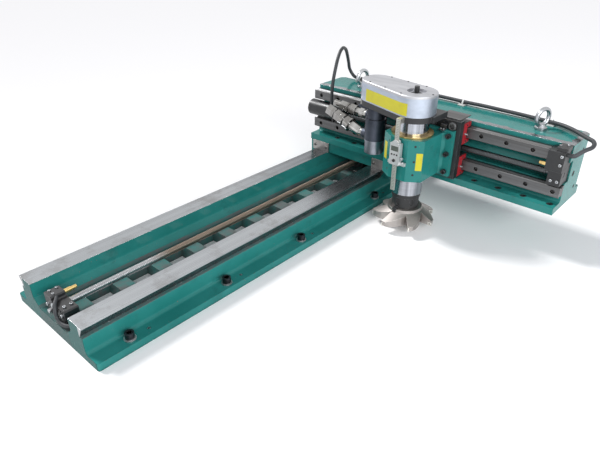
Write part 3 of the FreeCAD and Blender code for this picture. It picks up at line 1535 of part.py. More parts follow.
doc.recompute()
failed = [item.Label for item in doc.Objects
          if any(word in ("Invalid", "Error") for word in item.State)]
for item in nodes:
    if item.Shape.isNull() or not item.Shape.isValid() or not item.Shape.Solids:
        failed.append(item.Label)
if failed:
    raise RuntimeError("these did not build: " + ", ".join(sorted(set(failed))))

os.makedirs("parts", exist_ok=True)
for item in nodes:
    item.Shape.exportStep(os.path.join("parts", item.Label + ".step"))
print(len(nodes), "pieces written")
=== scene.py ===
import math

import bmesh
import bpy
from mathutils import Matrix, Vector


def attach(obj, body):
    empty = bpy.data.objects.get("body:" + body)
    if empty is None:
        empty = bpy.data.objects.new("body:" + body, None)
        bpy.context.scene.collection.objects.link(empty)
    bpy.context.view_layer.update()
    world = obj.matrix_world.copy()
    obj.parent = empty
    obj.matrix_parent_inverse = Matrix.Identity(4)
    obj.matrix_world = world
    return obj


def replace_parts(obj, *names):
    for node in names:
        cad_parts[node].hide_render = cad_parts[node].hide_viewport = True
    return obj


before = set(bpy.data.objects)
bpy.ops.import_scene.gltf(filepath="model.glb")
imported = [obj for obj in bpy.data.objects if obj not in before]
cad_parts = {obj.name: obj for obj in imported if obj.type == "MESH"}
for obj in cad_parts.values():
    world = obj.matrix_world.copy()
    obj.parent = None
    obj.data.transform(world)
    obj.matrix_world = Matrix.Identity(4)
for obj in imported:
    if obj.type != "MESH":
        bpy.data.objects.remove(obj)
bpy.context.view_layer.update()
print("frame loaded:", len(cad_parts), "CAD pieces")

# Metres, in the CAD's own frame: X along the cross beam, Y along the bed, Z up.
xAxis = Vector((1, 0, 0))
yAxis = Vector((0, 1, 0))
zAxis = Vector((0, 0, 1))


# Camera, floor and light

view = {
    "place": (1.1489, -1.1159, 0.9114),
    "turn": (60.01, 0.0, 42.24),  # degrees
    "lens": 32.82,  # millimetres on the sensor below
    "sensor": 36,
    "farthest": 60,
}

ground = {
    "size": 14.0,
    "drop": 0.0005,  # under the bed, so that the two don't flicker
    "bounce": (0.78, 0.78, 0.77, 1),  # the colour that it throws back on the machine
    "shown": (1.0, 0.985, 0.98, 1),  # and the one that the camera sees
    "lift": 0.05,
    "sky": (0.86, 0.90, 1.0, 1),
    "skyLight": 0.26,
    "backdrop": 1.0,  # 1 is white
}

sun = {"towards": (-0.97, -0.20, 1.02), "power": 2.8, "spread": 13}  # spread in degrees

lamps = {
    "rightLamp": {"place": (2.9, -1.3, 1.65), "aim": (0.15, 0.0, 0.12), "size": (2.8, 1.0),
                  "power": 92, "colour": (0.95, 0.98, 1.0)},
    "frontLamp": {"place": (-0.6, -3.3, 0.7), "aim": (0.1, 0.2, 0.2), "size": (2.6, 1.0),
                  "power": 6, "colour": (1.0, 0.99, 0.97)},
}


def newObject(name, data):
    item = bpy.data.objects.new(name, data)
    bpy.context.scene.collection.objects.link(item)
    return item


def addCamera():
    data = bpy.data.cameras.new("camera")
    data.lens = view["lens"]
    data.sensor_width = view["sensor"]
    data.clip_end = view["farthest"]
    camera = newObject("camera", data)
    camera.location = view["place"]
    camera.rotation_euler = [math.radians(angle) for angle in view["turn"]]
    bpy.context.scene.camera = camera


def addSun(name):
    data = bpy.data.lights.new(name, "SUN")
    data.energy = sun["power"]
    data.angle = math.radians(sun["spread"])
    lamp = newObject(name, data)
    lamp.rotation_euler = Vector(sun["towards"]).to_track_quat("Z", "Y").to_euler()


def addLamp(name):
    wanted = lamps[name]
    data = bpy.data.lights.new(name, "AREA")
    data.shape = "RECTANGLE"
    data.size, data.size_y = wanted["size"]
    data.energy = wanted["power"]
    data.color = wanted["colour"]
    lamp = newObject(name, data)
    lamp.location = wanted["place"]
    aim = Vector(wanted["aim"]) - Vector(wanted["place"])
    lamp.rotation_euler = aim.to_track_quat("-Z", "Y").to_euler()


def setTree(owner):
    owner.use_nodes = True
    owner.node_tree.nodes.clear()
    return owner.node_tree


def join(tree, start, end):
    tree.links.new(start, end)


def newNode(tree, kind, place=(0, 0), **settings):
    item = tree.nodes.new(kind)
    item.location = place
    for key, value in settings.items():
        setattr(item, key, value)
    return item


def setInputs(item, values):
    for label, value in values.items():
        item.inputs[label].default_value = value


def whiteForCamera(tree):
    # 1 where a ray comes straight from the camera or by way of gloss or glass.
    path = newNode(tree, "ShaderNodeLightPath", (-900, 300))
    direct = newNode(tree, "ShaderNodeMath", (-700, 300), operation="MAXIMUM")
    anyOf = newNode(tree, "ShaderNodeMath", (-500, 300), operation="MAXIMUM")
    join(tree, path.outputs["Is Camera Ray"], direct.inputs[0])
    join(tree, path.outputs["Is Glossy Ray"], direct.inputs[1])
    join(tree, direct.outputs[0], anyOf.inputs[0])
    join(tree, path.outputs["Is Transmission Ray"], anyOf.inputs[1])
    return anyOf.outputs[0]


def addWorld():
    world = bpy.data.worlds.new("studio")
    bpy.context.scene.world = world
    tree = setTree(world)
    plain = newNode(tree, "ShaderNodeBackground", (-200, 0))
    setInputs(plain, {"Color": ground["sky"], "Strength": ground["skyLight"]})
    shown = newNode(tree, "ShaderNodeBackground", (-200, 200))
    setInputs(shown, {"Color": (1, 1, 1, 1), "Strength": ground["backdrop"]})
    mix = newNode(tree, "ShaderNodeMixShader", (0, 100))
    out = newNode(tree, "ShaderNodeOutputWorld", (200, 100))
    join(tree, whiteForCamera(tree), mix.inputs[0])
    join(tree, plain.outputs[0], mix.inputs[1])
    join(tree, shown.outputs[0], mix.inputs[2])
    join(tree, mix.outputs[0], out.inputs["Surface"])


def addFloor():
    shape = bmesh.new()
    bmesh.ops.create_grid(shape, x_segments=4, y_segments=4, size=ground["size"] / 2)
    mesh = bpy.data.meshes.new("floor")
    shape.to_mesh(mesh)
    shape.free()
    mesh.transform(Matrix.Translation((0, 0, -ground["drop"])))
    floor = newObject("floor", mesh)
    material = bpy.data.materials.new("paleFloor")
    tree = setTree(material)
    surface = newNode(tree, "ShaderNodeBsdfDiffuse", (-300, 0))
    surface.inputs["Color"].default_value = ground["bounce"]
    shown = newNode(tree, "ShaderNodeBsdfDiffuse", (-300, 200))
    shown.inputs["Color"].default_value = ground["shown"]
    lift = newNode(tree, "ShaderNodeEmission", (-300, 400))
    lift.inputs["Strength"].default_value = ground["lift"]
    white = newNode(tree, "ShaderNodeAddShader", (-100, 300))
    mix = newNode(tree, "ShaderNodeMixShader", (100, 100))
    out = newNode(tree, "ShaderNodeOutputMaterial", (300, 0))
    join(tree, shown.outputs[0], white.inputs[0])
    join(tree, lift.outputs[0], white.inputs[1])
    join(tree, whiteForCamera(tree), mix.inputs[0])
    join(tree, surface.outputs[0], mix.inputs[1])
    join(tree, white.outputs[0], mix.inputs[2])
    join(tree, mix.outputs[0], out.inputs["Surface"])
    mesh.materials.append(material)


addCamera()
addWorld()
addFloor()
addSun("leftSun")
addLamp("rightLamp")
addLamp("frontLamp")
bpy.context.scene.view_settings.view_transform = "Standard"
print("camera, floor and light set")


# Shader nodes in short words

def feed(tree, value, socket):
    # A value for a socket is a link from another node, or a plain number or colour.
    if isinstance(value, bpy.types.NodeSocket):
        join(tree, value, socket)
    else:
        socket.default_value = value


def mathOf(tree, operation, first, second=0.0):
    item = newNode(tree, "ShaderNodeMath", operation=operation)
    feed(tree, first, item.inputs[0])
    feed(tree, second, item.inputs[1])
    return item.outputs[0]


def timesPlus(tree, value, factor, added):
    item = newNode(tree, "ShaderNodeMath", operation="MULTIPLY_ADD")
    for socket, number in zip(item.inputs, (value, factor, added)):
        feed(tree, number, socket)
    return item.outputs[0]


def above(tree, value, limit):
    return mathOf(tree, "GREATER_THAN", value, limit)


def below(tree, value, limit):
    return mathOf(tree, "LESS_THAN", value, limit)


def either(tree, first, second):
    return mathOf(tree, "MAXIMUM", first, second)


def together(tree, first, second):
    return mathOf(tree, "MULTIPLY", first, second)


def rangeOf(tree, value, low, high, toLow=0.0, toHigh=1.0):
    item = newNode(tree, "ShaderNodeMapRange", clamp=True)
    for socket, number in zip(item.inputs, (value, low, high, toLow, toHigh)):
        feed(tree, number, socket)
    return item.outputs[0]


def mixOf(tree, mask, under, over):
    # Colours; sockets 0, 6 and 7 of a Mix node that is set to colour.
    item = newNode(tree, "ShaderNodeMix", data_type="RGBA")
    for index, value in ((0, mask), (6, under), (7, over)):
        feed(tree, value, item.inputs[index])
    return item.outputs[2]


def blendOf(tree, mask, under, over):
    # Numbers; sockets 0, 2 and 3 of a Mix node that is set to float.
    item = newNode(tree, "ShaderNodeMix", data_type="FLOAT")
    for index, value in ((0, mask), (2, under), (3, over)):
        feed(tree, value, item.inputs[index])
    return item.outputs[0]


def noiseOf(tree, vector, scale, detail=3.0, roughness=0.5):
    item = newNode(tree, "ShaderNodeTexNoise")
    join(tree, vector, item.inputs["Vector"])
    feed(tree, scale, item.inputs["Scale"])
    setInputs(item, {"Detail": detail, "Roughness": roughness})
    return item.outputs["Fac"]


def objectPlace(tree):
    return newNode(tree, "ShaderNodeTexCoord", (-1300, -300)).outputs["Object"]


def partsOf(tree, vector):
    item = newNode(tree, "ShaderNodeSeparateXYZ")
    join(tree, vector, item.inputs[0])
    return item.outputs


def placeParts(tree):
    return partsOf(tree, objectPlace(tree))


def stretched(tree, vector, scale):
    item = newNode(tree, "ShaderNodeVectorMath", operation="MULTIPLY")
    join(tree, vector, item.inputs[0])
    feed(tree, scale, item.inputs[1])
    return item.outputs[0]


def facing(tree, axis):
    # The surface's own direction along an axis, 0 for X, 1 for Y, 2 for Z.
    plain = newNode(tree, "ShaderNodeNewGeometry")
    turned = newNode(tree, "ShaderNodeVectorTransform", vector_type="NORMAL",
                     convert_from="WORLD", convert_to="OBJECT")
    join(tree, plain.outputs["True Normal"], turned.inputs[0])
    return partsOf(tree, turned.outputs[0])[axis]


def bump(tree, surface, height, strength, distance, edge):
    # Relief on edges that are softened by the given radius.
    item = newNode(tree, "ShaderNodeBump")
    setInputs(item, {"Strength": strength, "Distance": distance})
    join(tree, height, item.inputs["Height"])
    soft = newNode(tree, "ShaderNodeBevel", samples=4)
    soft.inputs["Radius"].default_value = edge
    join(tree, soft.outputs[0], item.inputs["Normal"])
    join(tree, item.outputs[0], surface.inputs["Normal"])


# Effects that several finishes share, each a node group

def startGroup(name, takes, gives):
    tree = bpy.data.node_groups.new(name, "ShaderNodeTree")
    for label, value in takes.items():
        kind = "NodeSocketVector" if isinstance(value, tuple) else "NodeSocketFloat"
        socket = tree.interface.new_socket(label, in_out="INPUT", socket_type=kind)
        socket.default_value = value
    for label in gives:
        tree.interface.new_socket(label, in_out="OUTPUT", socket_type="NodeSocketFloat")
    return (tree, newNode(tree, "NodeGroupInput", (-1300, 0)),
            newNode(tree, "NodeGroupOutput", (700, 0)))


def placeGroup(tree, group, **values):
    item = newNode(tree, "ShaderNodeGroup", node_tree=group)
    setInputs(item, values)
    return item


def edgeWearGroup():
    # Where an edge is rubbed through, broken up by noise.
    tree, takes, gives = startGroup(
        "edgeWear", {"Width": 0.003, "Breakup": 90.0, "Least": 0.5}, ["Mask"])
    bevel = newNode(tree, "ShaderNodeBevel", samples=4)
    join(tree, takes.outputs["Width"], bevel.inputs["Radius"])
    plain = newNode(tree, "ShaderNodeNewGeometry")
    turn = newNode(tree, "ShaderNodeVectorMath", operation="DOT_PRODUCT")
    join(tree, bevel.outputs[0], turn.inputs[0])
    join(tree, plain.outputs["Normal"], turn.inputs[1])
    edge = rangeOf(tree, turn.outputs["Value"], 0.97, 0.80)
    patch = noiseOf(tree, objectPlace(tree), takes.outputs["Breakup"], 6.0, 0.65)
    upper = mathOf(tree, "ADD", takes.outputs["Least"], 0.08)
    broken = rangeOf(tree, patch, takes.outputs["Least"], upper)
    join(tree, together(tree, edge, broken), gives.inputs["Mask"])
    return tree


def castSkinGroup():
    # Paint over a casting: fine peel, slow waves under it, and a slow change of tone.
    tree, takes, gives = startGroup(
        "castSkin", {"Peel": 420.0, "Wave": 34.0, "Tone": 7.0}, ["Height", "Tone"])
    place = objectPlace(tree)
    peel = noiseOf(tree, place, takes.outputs["Peel"], 2.0)
    wave = noiseOf(tree, place, takes.outputs["Wave"], 3.0)
    height = timesPlus(tree, wave, 0.78, together(tree, peel, 0.22))
    join(tree, height, gives.inputs["Height"])
    tone = noiseOf(tree, place, takes.outputs["Tone"], 6.0, 0.6)
    join(tree, rangeOf(tree, tone, 0.32, 0.68), gives.inputs["Tone"])
    return tree


def cornerShadeAndGrimeGroup():
    # Painted shade and dirt in corners, found by ambient occlusion, and dirt that lies in
    # patches.
    tree, takes, gives = startGroup(
        "cornerShadeAndGrime", {"Reach": 0.02, "Patch": 16.0, "Least": 0.5}, ["Corner", "Patch"])
    hollow = newNode(tree, "ShaderNodeAmbientOcclusion", samples=4)
    join(tree, takes.outputs["Reach"], hollow.inputs["Distance"])
    # painted shade: the corner mask darkens wherever ambient occlusion finds the surface hemmed
    # in
    corner = rangeOf(tree, hollow.outputs["AO"], 0.75, 0.25)
    spread = noiseOf(tree, objectPlace(tree), takes.outputs["Patch"], 7.0, 0.68)
    uneven = rangeOf(tree, spread, 0.30, 0.62, 0.35, 1.0)
    join(tree, together(tree, corner, uneven), gives.inputs["Corner"])
    upper = mathOf(tree, "ADD", takes.outputs["Least"], 0.16)
    join(tree, rangeOf(tree, spread, takes.outputs["Least"], upper), gives.inputs["Patch"])
    return tree


def grainGroup():
    # Lines left by grinding or turning: noise drawn out along one direction.
    tree, takes, gives = startGroup(
        "grain", {"Stretch": (900.0, 9.0, 900.0)}, ["Line", "Band"])
    fine = stretched(tree, objectPlace(tree), takes.outputs["Stretch"])
    join(tree, noiseOf(tree, fine, 1.0, 3.0, 0.6), gives.inputs["Line"])
    join(tree, noiseOf(tree, fine, 0.06, 4.0, 0.6), gives.inputs["Band"])
    return tree


def specksGroup():
    # Small chips and spots with ragged outlines.
    tree, takes, gives = startGroup("specks", {"Spacing": 60.0, "Size": 0.12}, ["Mask"])
    place = objectPlace(tree)
    cells = newNode(tree, "ShaderNodeTexVoronoi")
    join(tree, place, cells.inputs["Vector"])
    join(tree, takes.outputs["Spacing"], cells.inputs["Scale"])
    reach = timesPlus(tree, noiseOf(tree, place, 420.0, 3.0), 0.35, cells.outputs["Distance"])
    edge = mathOf(tree, "ADD", takes.outputs["Size"], 0.16)
    upper = mathOf(tree, "ADD", edge, 0.05)
    inside = rangeOf(tree, reach, edge, upper, 1.0, 0.0)
    rare = rangeOf(tree, noiseOf(tree, place, 26.0, 2.0), 0.50, 0.56)
    join(tree, together(tree, inside, rare), gives.inputs["Mask"])
    return tree


edgeWear = edgeWearGroup()
castSkin = castSkinGroup()
cornerShadeAndGrime = cornerShadeAndGrimeGroup()
grain = grainGroup()
specks = specksGroup()
print("effects made")


# Painted castings

paint = {
    "deep": (0.018, 0.190, 0.172, 1),
    "lit": (0.032, 0.240, 0.220, 1),
    "primer": (0.10, 0.085, 0.07, 1),
    "dirtAndShade": (0.012, 0.022, 0.021, 1),
    "chip": (0.16, 0.15, 0.14, 1),
    "soot": (0.12, 0.125, 0.125, 1),
    "shaded": (0.006, 0.070, 0.066, 1),
    "patches": 0.28,  # how far dirt covers the paint in patches
    "corners": 0.75,  # and how far painted shade with dirt covers it in corners
    "coat": 0.42,
    "shadedCoat": 0.03,
    "coatRough": 0.10,
    "shine": 0.02,
    "gloss": 0.27,
    "dull": 0.52,
    "relief": (0.55, 0.0011, 0.0016),  # strength, depth, edge radius
}

bareIron = {
    "bright": (0.47, 0.49, 0.51, 1),
    "dark": (0.070, 0.078, 0.092, 1),
    "stain": (0.10, 0.075, 0.055, 1),
    "stained": 0.30,
    "smooth": 0.17,
    "rough": 0.34,
    "lines": 0.10,
}

wrinkles = {  # the thick brushed paint on top of the beam
    "spacing": 105.0,
    "stretch": (1.0, 0.7, 1.0),
    "depth": -2.4,
    "fades": (-0.1, 0.55, 0.25, 1.0),  # from X to X, from share to share
    "upward": 0.7,
}


def startFinish(name, roughness, metallic=0.0):
    material = bpy.data.materials.new(name)
    tree = setTree(material)
    surface = newNode(tree, "ShaderNodeBsdfPrincipled", (300, 0))
    setInputs(surface, {"Roughness": roughness, "Metallic": metallic})
    out = newNode(tree, "ShaderNodeOutputMaterial", (600, 0))
    join(tree, surface.outputs[0], out.inputs["Surface"])
    return material, tree, surface


def paintLayer(tree, soot):
    skin = placeGroup(tree, castSkin)
    dirtAndShade = placeGroup(tree, cornerShadeAndGrime, Least=0.56)
    wear = placeGroup(tree, edgeWear, Width=0.0028, Least=0.52)
    chips = placeGroup(tree, specks, Spacing=70.0, Size=0.06)
    colour = mixOf(tree, skin.outputs["Tone"], paint["deep"], paint["lit"])
    thin = together(tree, dirtAndShade.outputs["Patch"], paint["patches"])
    colour = mixOf(tree, thin, colour, paint["dirtAndShade"])
    # painted shade and dirt: corners darken towards the dark colour
    deep = together(tree, dirtAndShade.outputs["Corner"], paint["corners"])
    colour = mixOf(tree, deep, colour, paint["dirtAndShade"])
    if soot:
        colour = mixOf(tree, soot, colour, paint["soot"])
    colour = mixOf(tree, wear.outputs["Mask"], colour, paint["primer"])
    colour = mixOf(tree, chips.outputs["Mask"], colour, paint["chip"])
    dull = either(tree, dirtAndShade.outputs["Corner"], together(tree, thin, 1.5))
    return colour, blendOf(tree, dull, paint["gloss"], paint["dull"]), skin.outputs["Height"]


def ironLayer(tree, stretch, darkMask):
    lines = placeGroup(tree, grain, Stretch=stretch)
    film = placeGroup(tree, cornerShadeAndGrime, Patch=11.0, Least=0.50)
    # darkMask darkens the bare iron: painted shade and reflection on the bed, random tone on
    # the beam
    shade = timesPlus(tree, lines.outputs["Band"], 0.55, darkMask)
    tone = rangeOf(tree, shade, 0.18, 1.25)
    colour = mixOf(tree, tone, bareIron["bright"], bareIron["dark"])
    stain = together(tree, film.outputs["Patch"], bareIron["stained"])
    colour = mixOf(tree, stain, colour, bareIron["stain"])
    rough = blendOf(tree, lines.outputs["Band"], bareIron["smooth"], bareIron["rough"])
    return colour, rough, lines.outputs["Line"]


def wrinkled(tree, height):
    place = objectPlace(tree)
    upward = above(tree, facing(tree, 2), wrinkles["upward"])
    cells = newNode(tree, "ShaderNodeTexVoronoi", feature="SMOOTH_F1")
    join(tree, stretched(tree, place, wrinkles["stretch"]), cells.inputs["Vector"])
    cells.inputs["Scale"].default_value = wrinkles["spacing"]
    swell = together(tree, cells.outputs["Distance"], wrinkles["depth"])
    along = rangeOf(tree, partsOf(tree, place)[0], *wrinkles["fades"])
    return mathOf(tree, "ADD", height, together(tree, together(tree, upward, along), swell))


def paintedCasting(name, bareMask=None, darkMask=None, stretch=None, sootMask=None,
                   endMask=None, wrinkledTop=False):
    # Blue-green machine paint, with ground iron where bareMask says so.
    material, tree, surface = startFinish(name, paint["gloss"])
    setInputs(surface, {"Coat Weight": paint["coat"], "Coat Roughness": paint["coatRough"],
                        "Specular IOR Level": paint["shine"]})
    soot = sootMask(tree) if sootMask else None
    colour, rough, height = paintLayer(tree, soot)
    coat = paint["coat"]
    if endMask:
        # painted shade: the near end face takes the dark shaded colour and little coat
        end = endMask(tree)
        colour = mixOf(tree, end, colour, paint["shaded"])
        coat = blendOf(tree, end, coat, paint["shadedCoat"])
    if bareMask:
        mask = bareMask(tree)
        iron, ironRough, lines = ironLayer(tree, stretch, darkMask(tree))
        colour = mixOf(tree, mask, colour, iron)
        rough = blendOf(tree, mask, rough, ironRough)
        height = blendOf(tree, mask, height, together(tree, lines, bareIron["lines"]))
        join(tree, mask, surface.inputs["Metallic"])
        join(tree, blendOf(tree, mask, coat, 0.0), surface.inputs["Coat Weight"])
    if wrinkledTop:
        height = wrinkled(tree, height)
    join(tree, colour, surface.inputs["Base Color"])
    join(tree, rough, surface.inputs["Roughness"])
    bump(tree, surface, height, *paint["relief"])
    return material


# Machined and dirty places on the castings, by where they are

bedPlaces = {
    "top": 0.0995,  # everything as high as the ways is ground
    "flank": 0.0702,  # and so are the dovetails above their ledge
    "wallSide": 0.139,
    "paintedBeamReflection": (-0.05, 0.55, 0.0, 0.75),  # painted reflection of the dark beam: the ways darken towards it
    # painted shade on the left way
    "paintedSideShade": (-0.16, 0.16, 0.15, 0.0),
    # painted shade on the flanks below the ways' tops
    "paintedShadeUnderTop": (0.096, 0.24),
    "end": (-0.7492, 0.72),  # painted shade on the near end face, and how far it darkens
    "ledge": (0.068, 0.0702),
    "ledgeSoot": (60.0, 0.35, 0.60, 0.2, 0.8),
    "floor": (0.075, 0.048),  # half width and height of the channel's floor
    "floorSoot": (14.0, 0.38, 0.60, 0.25, 0.95),
    "grinding": (900.0, 9.0, 900.0),
}


def bedGround(tree):
    x, y, z = placeParts(tree)
    outer = above(tree, mathOf(tree, "ABSOLUTE", x), bedPlaces["wallSide"])
    flank = together(tree, outer, above(tree, z, bedPlaces["flank"]))
    return either(tree, above(tree, z, bedPlaces["top"]), flank)


def bedShade(tree):
    # painted shade and reflection on the bare iron: darker towards the beam, on the left way
    # and under the tops
    x, y, z = placeParts(tree)
    along = rangeOf(tree, y, *bedPlaces["paintedBeamReflection"])
    side = rangeOf(tree, x, *bedPlaces["paintedSideShade"])
    limit, share = bedPlaces["paintedShadeUnderTop"]
    low = together(tree, below(tree, z, limit), share)
    return either(tree, mathOf(tree, "ADD", along, side), low)


def bedEnd(tree):
    limit, share = bedPlaces["end"]
    return together(tree, below(tree, placeParts(tree)[1], limit), share)


def sootSpread(tree, scale, *spread):
    return rangeOf(tree, noiseOf(tree, objectPlace(tree), scale, 6.0, 0.7), *spread)


def bedSoot(tree):
    # Oil and swarf dust on the ledges under the dovetails and on the channel's floor.
    x, y, z = placeParts(tree)
    side = mathOf(tree, "ABSOLUTE", x)
    low, high = bedPlaces["ledge"]
    ledge = together(tree, above(tree, side, bedPlaces["wallSide"]),
                     together(tree, above(tree, z, low), below(tree, z, high)))
    half, top = bedPlaces["floor"]
    floor = together(tree, below(tree, side, half), below(tree, z, top))
    return either(tree, together(tree, ledge, sootSpread(tree, *bedPlaces["ledgeSoot"])),
                  together(tree, floor, sootSpread(tree, *bedPlaces["floorSoot"])))


beamPlaces = {
    "top": 0.3395,
    "front": 0.479,  # a scraped strip along the rails' side
    "end": 0.736,  # and along the long end
    "ragged": (45.0, 0.006),  # noise scale, and how far the strip's edge strays
    "shade": (12.0, 0.3, 0.7, 0.25, 0.6),
    "scraping": (9.0, 700.0, 700.0),
}


def beamGround(tree):
    x, y, z = placeParts(tree)
    scale, stray = beamPlaces["ragged"]
    shift = rangeOf(tree, noiseOf(tree, objectPlace(tree), scale, 5.0), 0.3, 0.7, -stray, stray)
    strip = below(tree, mathOf(tree, "ADD", y, shift), beamPlaces["front"])
    end = above(tree, mathOf(tree, "ADD", x, shift), beamPlaces["end"])
    return together(tree, above(tree, z, beamPlaces["top"]), either(tree, strip, end))


def beamShade(tree):
    scale, *spread = beamPlaces["shade"]
    return rangeOf(tree, noiseOf(tree, objectPlace(tree), scale, 4.0), *spread)


# Metals and plastics

metal = {
    "soilAndShade": (0.02, 0.017, 0.014, 1),
    "band": (0.3, 0.7),
    "spread": 0.16,  # how far roughness varies with the grain
    "patchy": 0.12,  # and with dirt
    "relief": (0.2, 0.0004, 0.0008),
}


def metalFinish(name, bright, dark, roughness, stretch, metallic=1.0, wear=None, dirtAndShade=0.35):
    # Turned or ground metal: lines, bands of tone, dirt and painted shade in corners, and
    # rubbed edges.
    material, tree, surface = startFinish(name, roughness, metallic)
    marks = placeGroup(tree, grain, Stretch=stretch)
    soilAndShade = placeGroup(tree, cornerShadeAndGrime, Reach=0.012, Patch=24.0, Least=0.54)
    colour = mixOf(tree, rangeOf(tree, marks.outputs["Band"], *metal["band"]), bright, dark)
    # painted shade and dirt: corners darken towards the soil colour
    colour = mixOf(tree, together(tree, soilAndShade.outputs["Corner"], dirtAndShade), colour, metal["soilAndShade"])
    if wear:
        rub = placeGroup(tree, edgeWear, Width=0.0016, Breakup=140.0, Least=0.44)
        colour = mixOf(tree, rub.outputs["Mask"], colour, wear)
    join(tree, colour, surface.inputs["Base Color"])
    spread = metal["spread"]
    uneven = timesPlus(tree, marks.outputs["Band"], spread, roughness - spread / 2)
    patchy = timesPlus(tree, soilAndShade.outputs["Patch"], metal["patchy"], uneven)
    join(tree, patchy, surface.inputs["Roughness"])
    bump(tree, surface, marks.outputs["Line"], *metal["relief"])
    return material


def twoMetals(name, maskOf, first, second, stretch):
    # One metal where maskOf is 0 and another where it is 1, as (bright, dark, roughness).
    material, tree, surface = startFinish(name, first[2], 1.0)
    marks = placeGroup(tree, grain, Stretch=stretch)
    soilAndShade = placeGroup(tree, cornerShadeAndGrime, Reach=0.012, Patch=24.0, Least=0.54)
    mask = maskOf(tree)
    band = rangeOf(tree, marks.outputs["Band"], 0.32, 0.68)
    low = mixOf(tree, band, first[0], first[1])
    high = mixOf(tree, band, second[0], second[1])
    colour = mixOf(tree, mask, low, high)
    # painted shade and dirt: corners darken towards near black
    dirtAndShade = together(tree, soilAndShade.outputs["Corner"], 0.75)
    colour = mixOf(tree, dirtAndShade, colour, (0.016, 0.013, 0.010, 1))
    join(tree, colour, surface.inputs["Base Color"])
    rough = blendOf(tree, mask, first[2], second[2])
    uneven = timesPlus(tree, marks.outputs["Line"], 0.14, rough)
    join(tree, uneven, surface.inputs["Roughness"])
    bump(tree, surface, marks.outputs["Line"], *metal["relief"])
    return material


def plasticFinish(name, colour, soiled, roughness, height, wear=None, peel=600.0):
    # Moulded or enamelled surface with a fine texture, dust, dirt and painted shade in corners,
    # and a little wear.
    material, tree, surface = startFinish(name, roughness)
    skin = placeGroup(tree, castSkin, Peel=peel, Wave=90.0, Tone=14.0)
    soilAndShade = placeGroup(tree, cornerShadeAndGrime, Reach=0.012, Patch=22.0, Least=0.52)
    base = mixOf(tree, together(tree, skin.outputs["Tone"], 0.35), colour, soiled)
    base = mixOf(tree, together(tree, soilAndShade.outputs["Patch"], 0.4), base, soiled)
    # painted shade and dirt: corners darken towards near black
    base = mixOf(tree, soilAndShade.outputs["Corner"], base, (0.02, 0.018, 0.015, 1))
    if wear:
        rub = placeGroup(tree, edgeWear, Width=0.0018, Breakup=120.0, Least=0.46)
        base = mixOf(tree, rub.outputs["Mask"], base, wear)
    join(tree, base, surface.inputs["Base Color"])
    rough = blendOf(tree, skin.outputs["Tone"], roughness - 0.08, roughness + 0.10)
    join(tree, rough, surface.inputs["Roughness"])
    bump(tree, surface, skin.outputs["Height"], height, 0.0006, 0.0008)
    return material


chrome = {
    "axis": (0.33, 0.30, 0.0),  # the quill's own axis
    "bright": (0.46, 0.48, 0.52, 1),
    "dark": (0.085, 0.09, 0.10, 1),
    "shade": (0.48, 0.78),
    "roughness": 0.15,
    "rings": (3.0, 3.0, 240.0),
    "oilAndShade": (0.03, 0.026, 0.02, 1),
}


def shadedChrome(name):
    # Hard chrome round an upright axis, with painted reflections: dark and bright streaks by
    # direction round the axis.
    roughness = chrome["roughness"]
    material, tree, surface = startFinish(name, roughness, 1.0)
    place = objectPlace(tree)
    away = newNode(tree, "ShaderNodeVectorMath", operation="SUBTRACT")
    join(tree, place, away.inputs[0])
    away.inputs[1].default_value = chrome["axis"]
    flat = stretched(tree, away.outputs[0], (1.0, 1.0, 0.02))
    turn = newNode(tree, "ShaderNodeVectorMath", operation="NORMALIZE")
    join(tree, flat, turn.inputs[0])
    # painted reflection: upright streaks that shift the chrome between bright and dark
    reflectionStreak = noiseOf(tree, turn.outputs[0], 2.4, 2.0, 0.55)
    rings = noiseOf(tree, stretched(tree, place, chrome["rings"]), 1.0, 4.0)
    shade = timesPlus(tree, rings, 0.10, reflectionStreak)
    colour = mixOf(tree, rangeOf(tree, shade, *chrome["shade"]), chrome["bright"],
                   chrome["dark"])
    soilAndShade = placeGroup(tree, cornerShadeAndGrime, Reach=0.014, Patch=30.0, Least=0.55)
    # painted shade and oil: corners darken towards a dark brown
    film = together(tree, soilAndShade.outputs["Corner"], 0.55)
    colour = mixOf(tree, film, colour, chrome["oilAndShade"])
    join(tree, colour, surface.inputs["Base Color"])
    rough = rangeOf(tree, rings, 0.3, 0.7, roughness - 0.05, roughness + 0.08)
    join(tree, rough, surface.inputs["Roughness"])
    bump(tree, surface, rings, 0.15, 0.0003, 0.0008)
    return material


metalChange = {  # heights at which a piece goes over to its other metal
    "cover": 0.4385,
    "washer": 0.0252,
    "motor": 0.246,
    "wiped": (-0.44, -0.34),  # along the bed screw
    "scaleStep": 200.0,  # marks to the metre
    "scaleMark": 0.16,  # a mark's share of its step
    "scaleMiddle": (0.33, 0.0042),
}


# painted light: the cover's top takes a greyer tone than its bluish sides, for how light falls
# on them
def coverTopPaintedLight(tree):
    return above(tree, placeParts(tree)[2], metalChange["cover"])


def washerLow(tree):
    return below(tree, placeParts(tree)[2], metalChange["washer"])


def motorLow(tree):
    return below(tree, placeParts(tree)[2], metalChange["motor"])


def screwWiped(tree):
    # Bright where the nut hasn't spread its grease, near the bearing block.
    y = placeParts(tree)[1]
    edge = timesPlus(tree, noiseOf(tree, objectPlace(tree), 9.0, 4.0), 0.10, y)
    return rangeOf(tree, edge, *metalChange["wiped"], 1.0, 0.0)


def scaleMarks(tree):
    # Graduations every 5 mm down the middle of the scale's face.
    x, y, z = placeParts(tree)
    step = mathOf(tree, "FRACT", together(tree, z, metalChange["scaleStep"]))
    middle, half = metalChange["scaleMiddle"]
    away = mathOf(tree, "ABSOLUTE", mathOf(tree, "SUBTRACT", x, middle))
    marks = together(tree, below(tree, step, metalChange["scaleMark"]), below(tree, away, half))
    return together(tree, marks, below(tree, facing(tree, 1), -0.5))


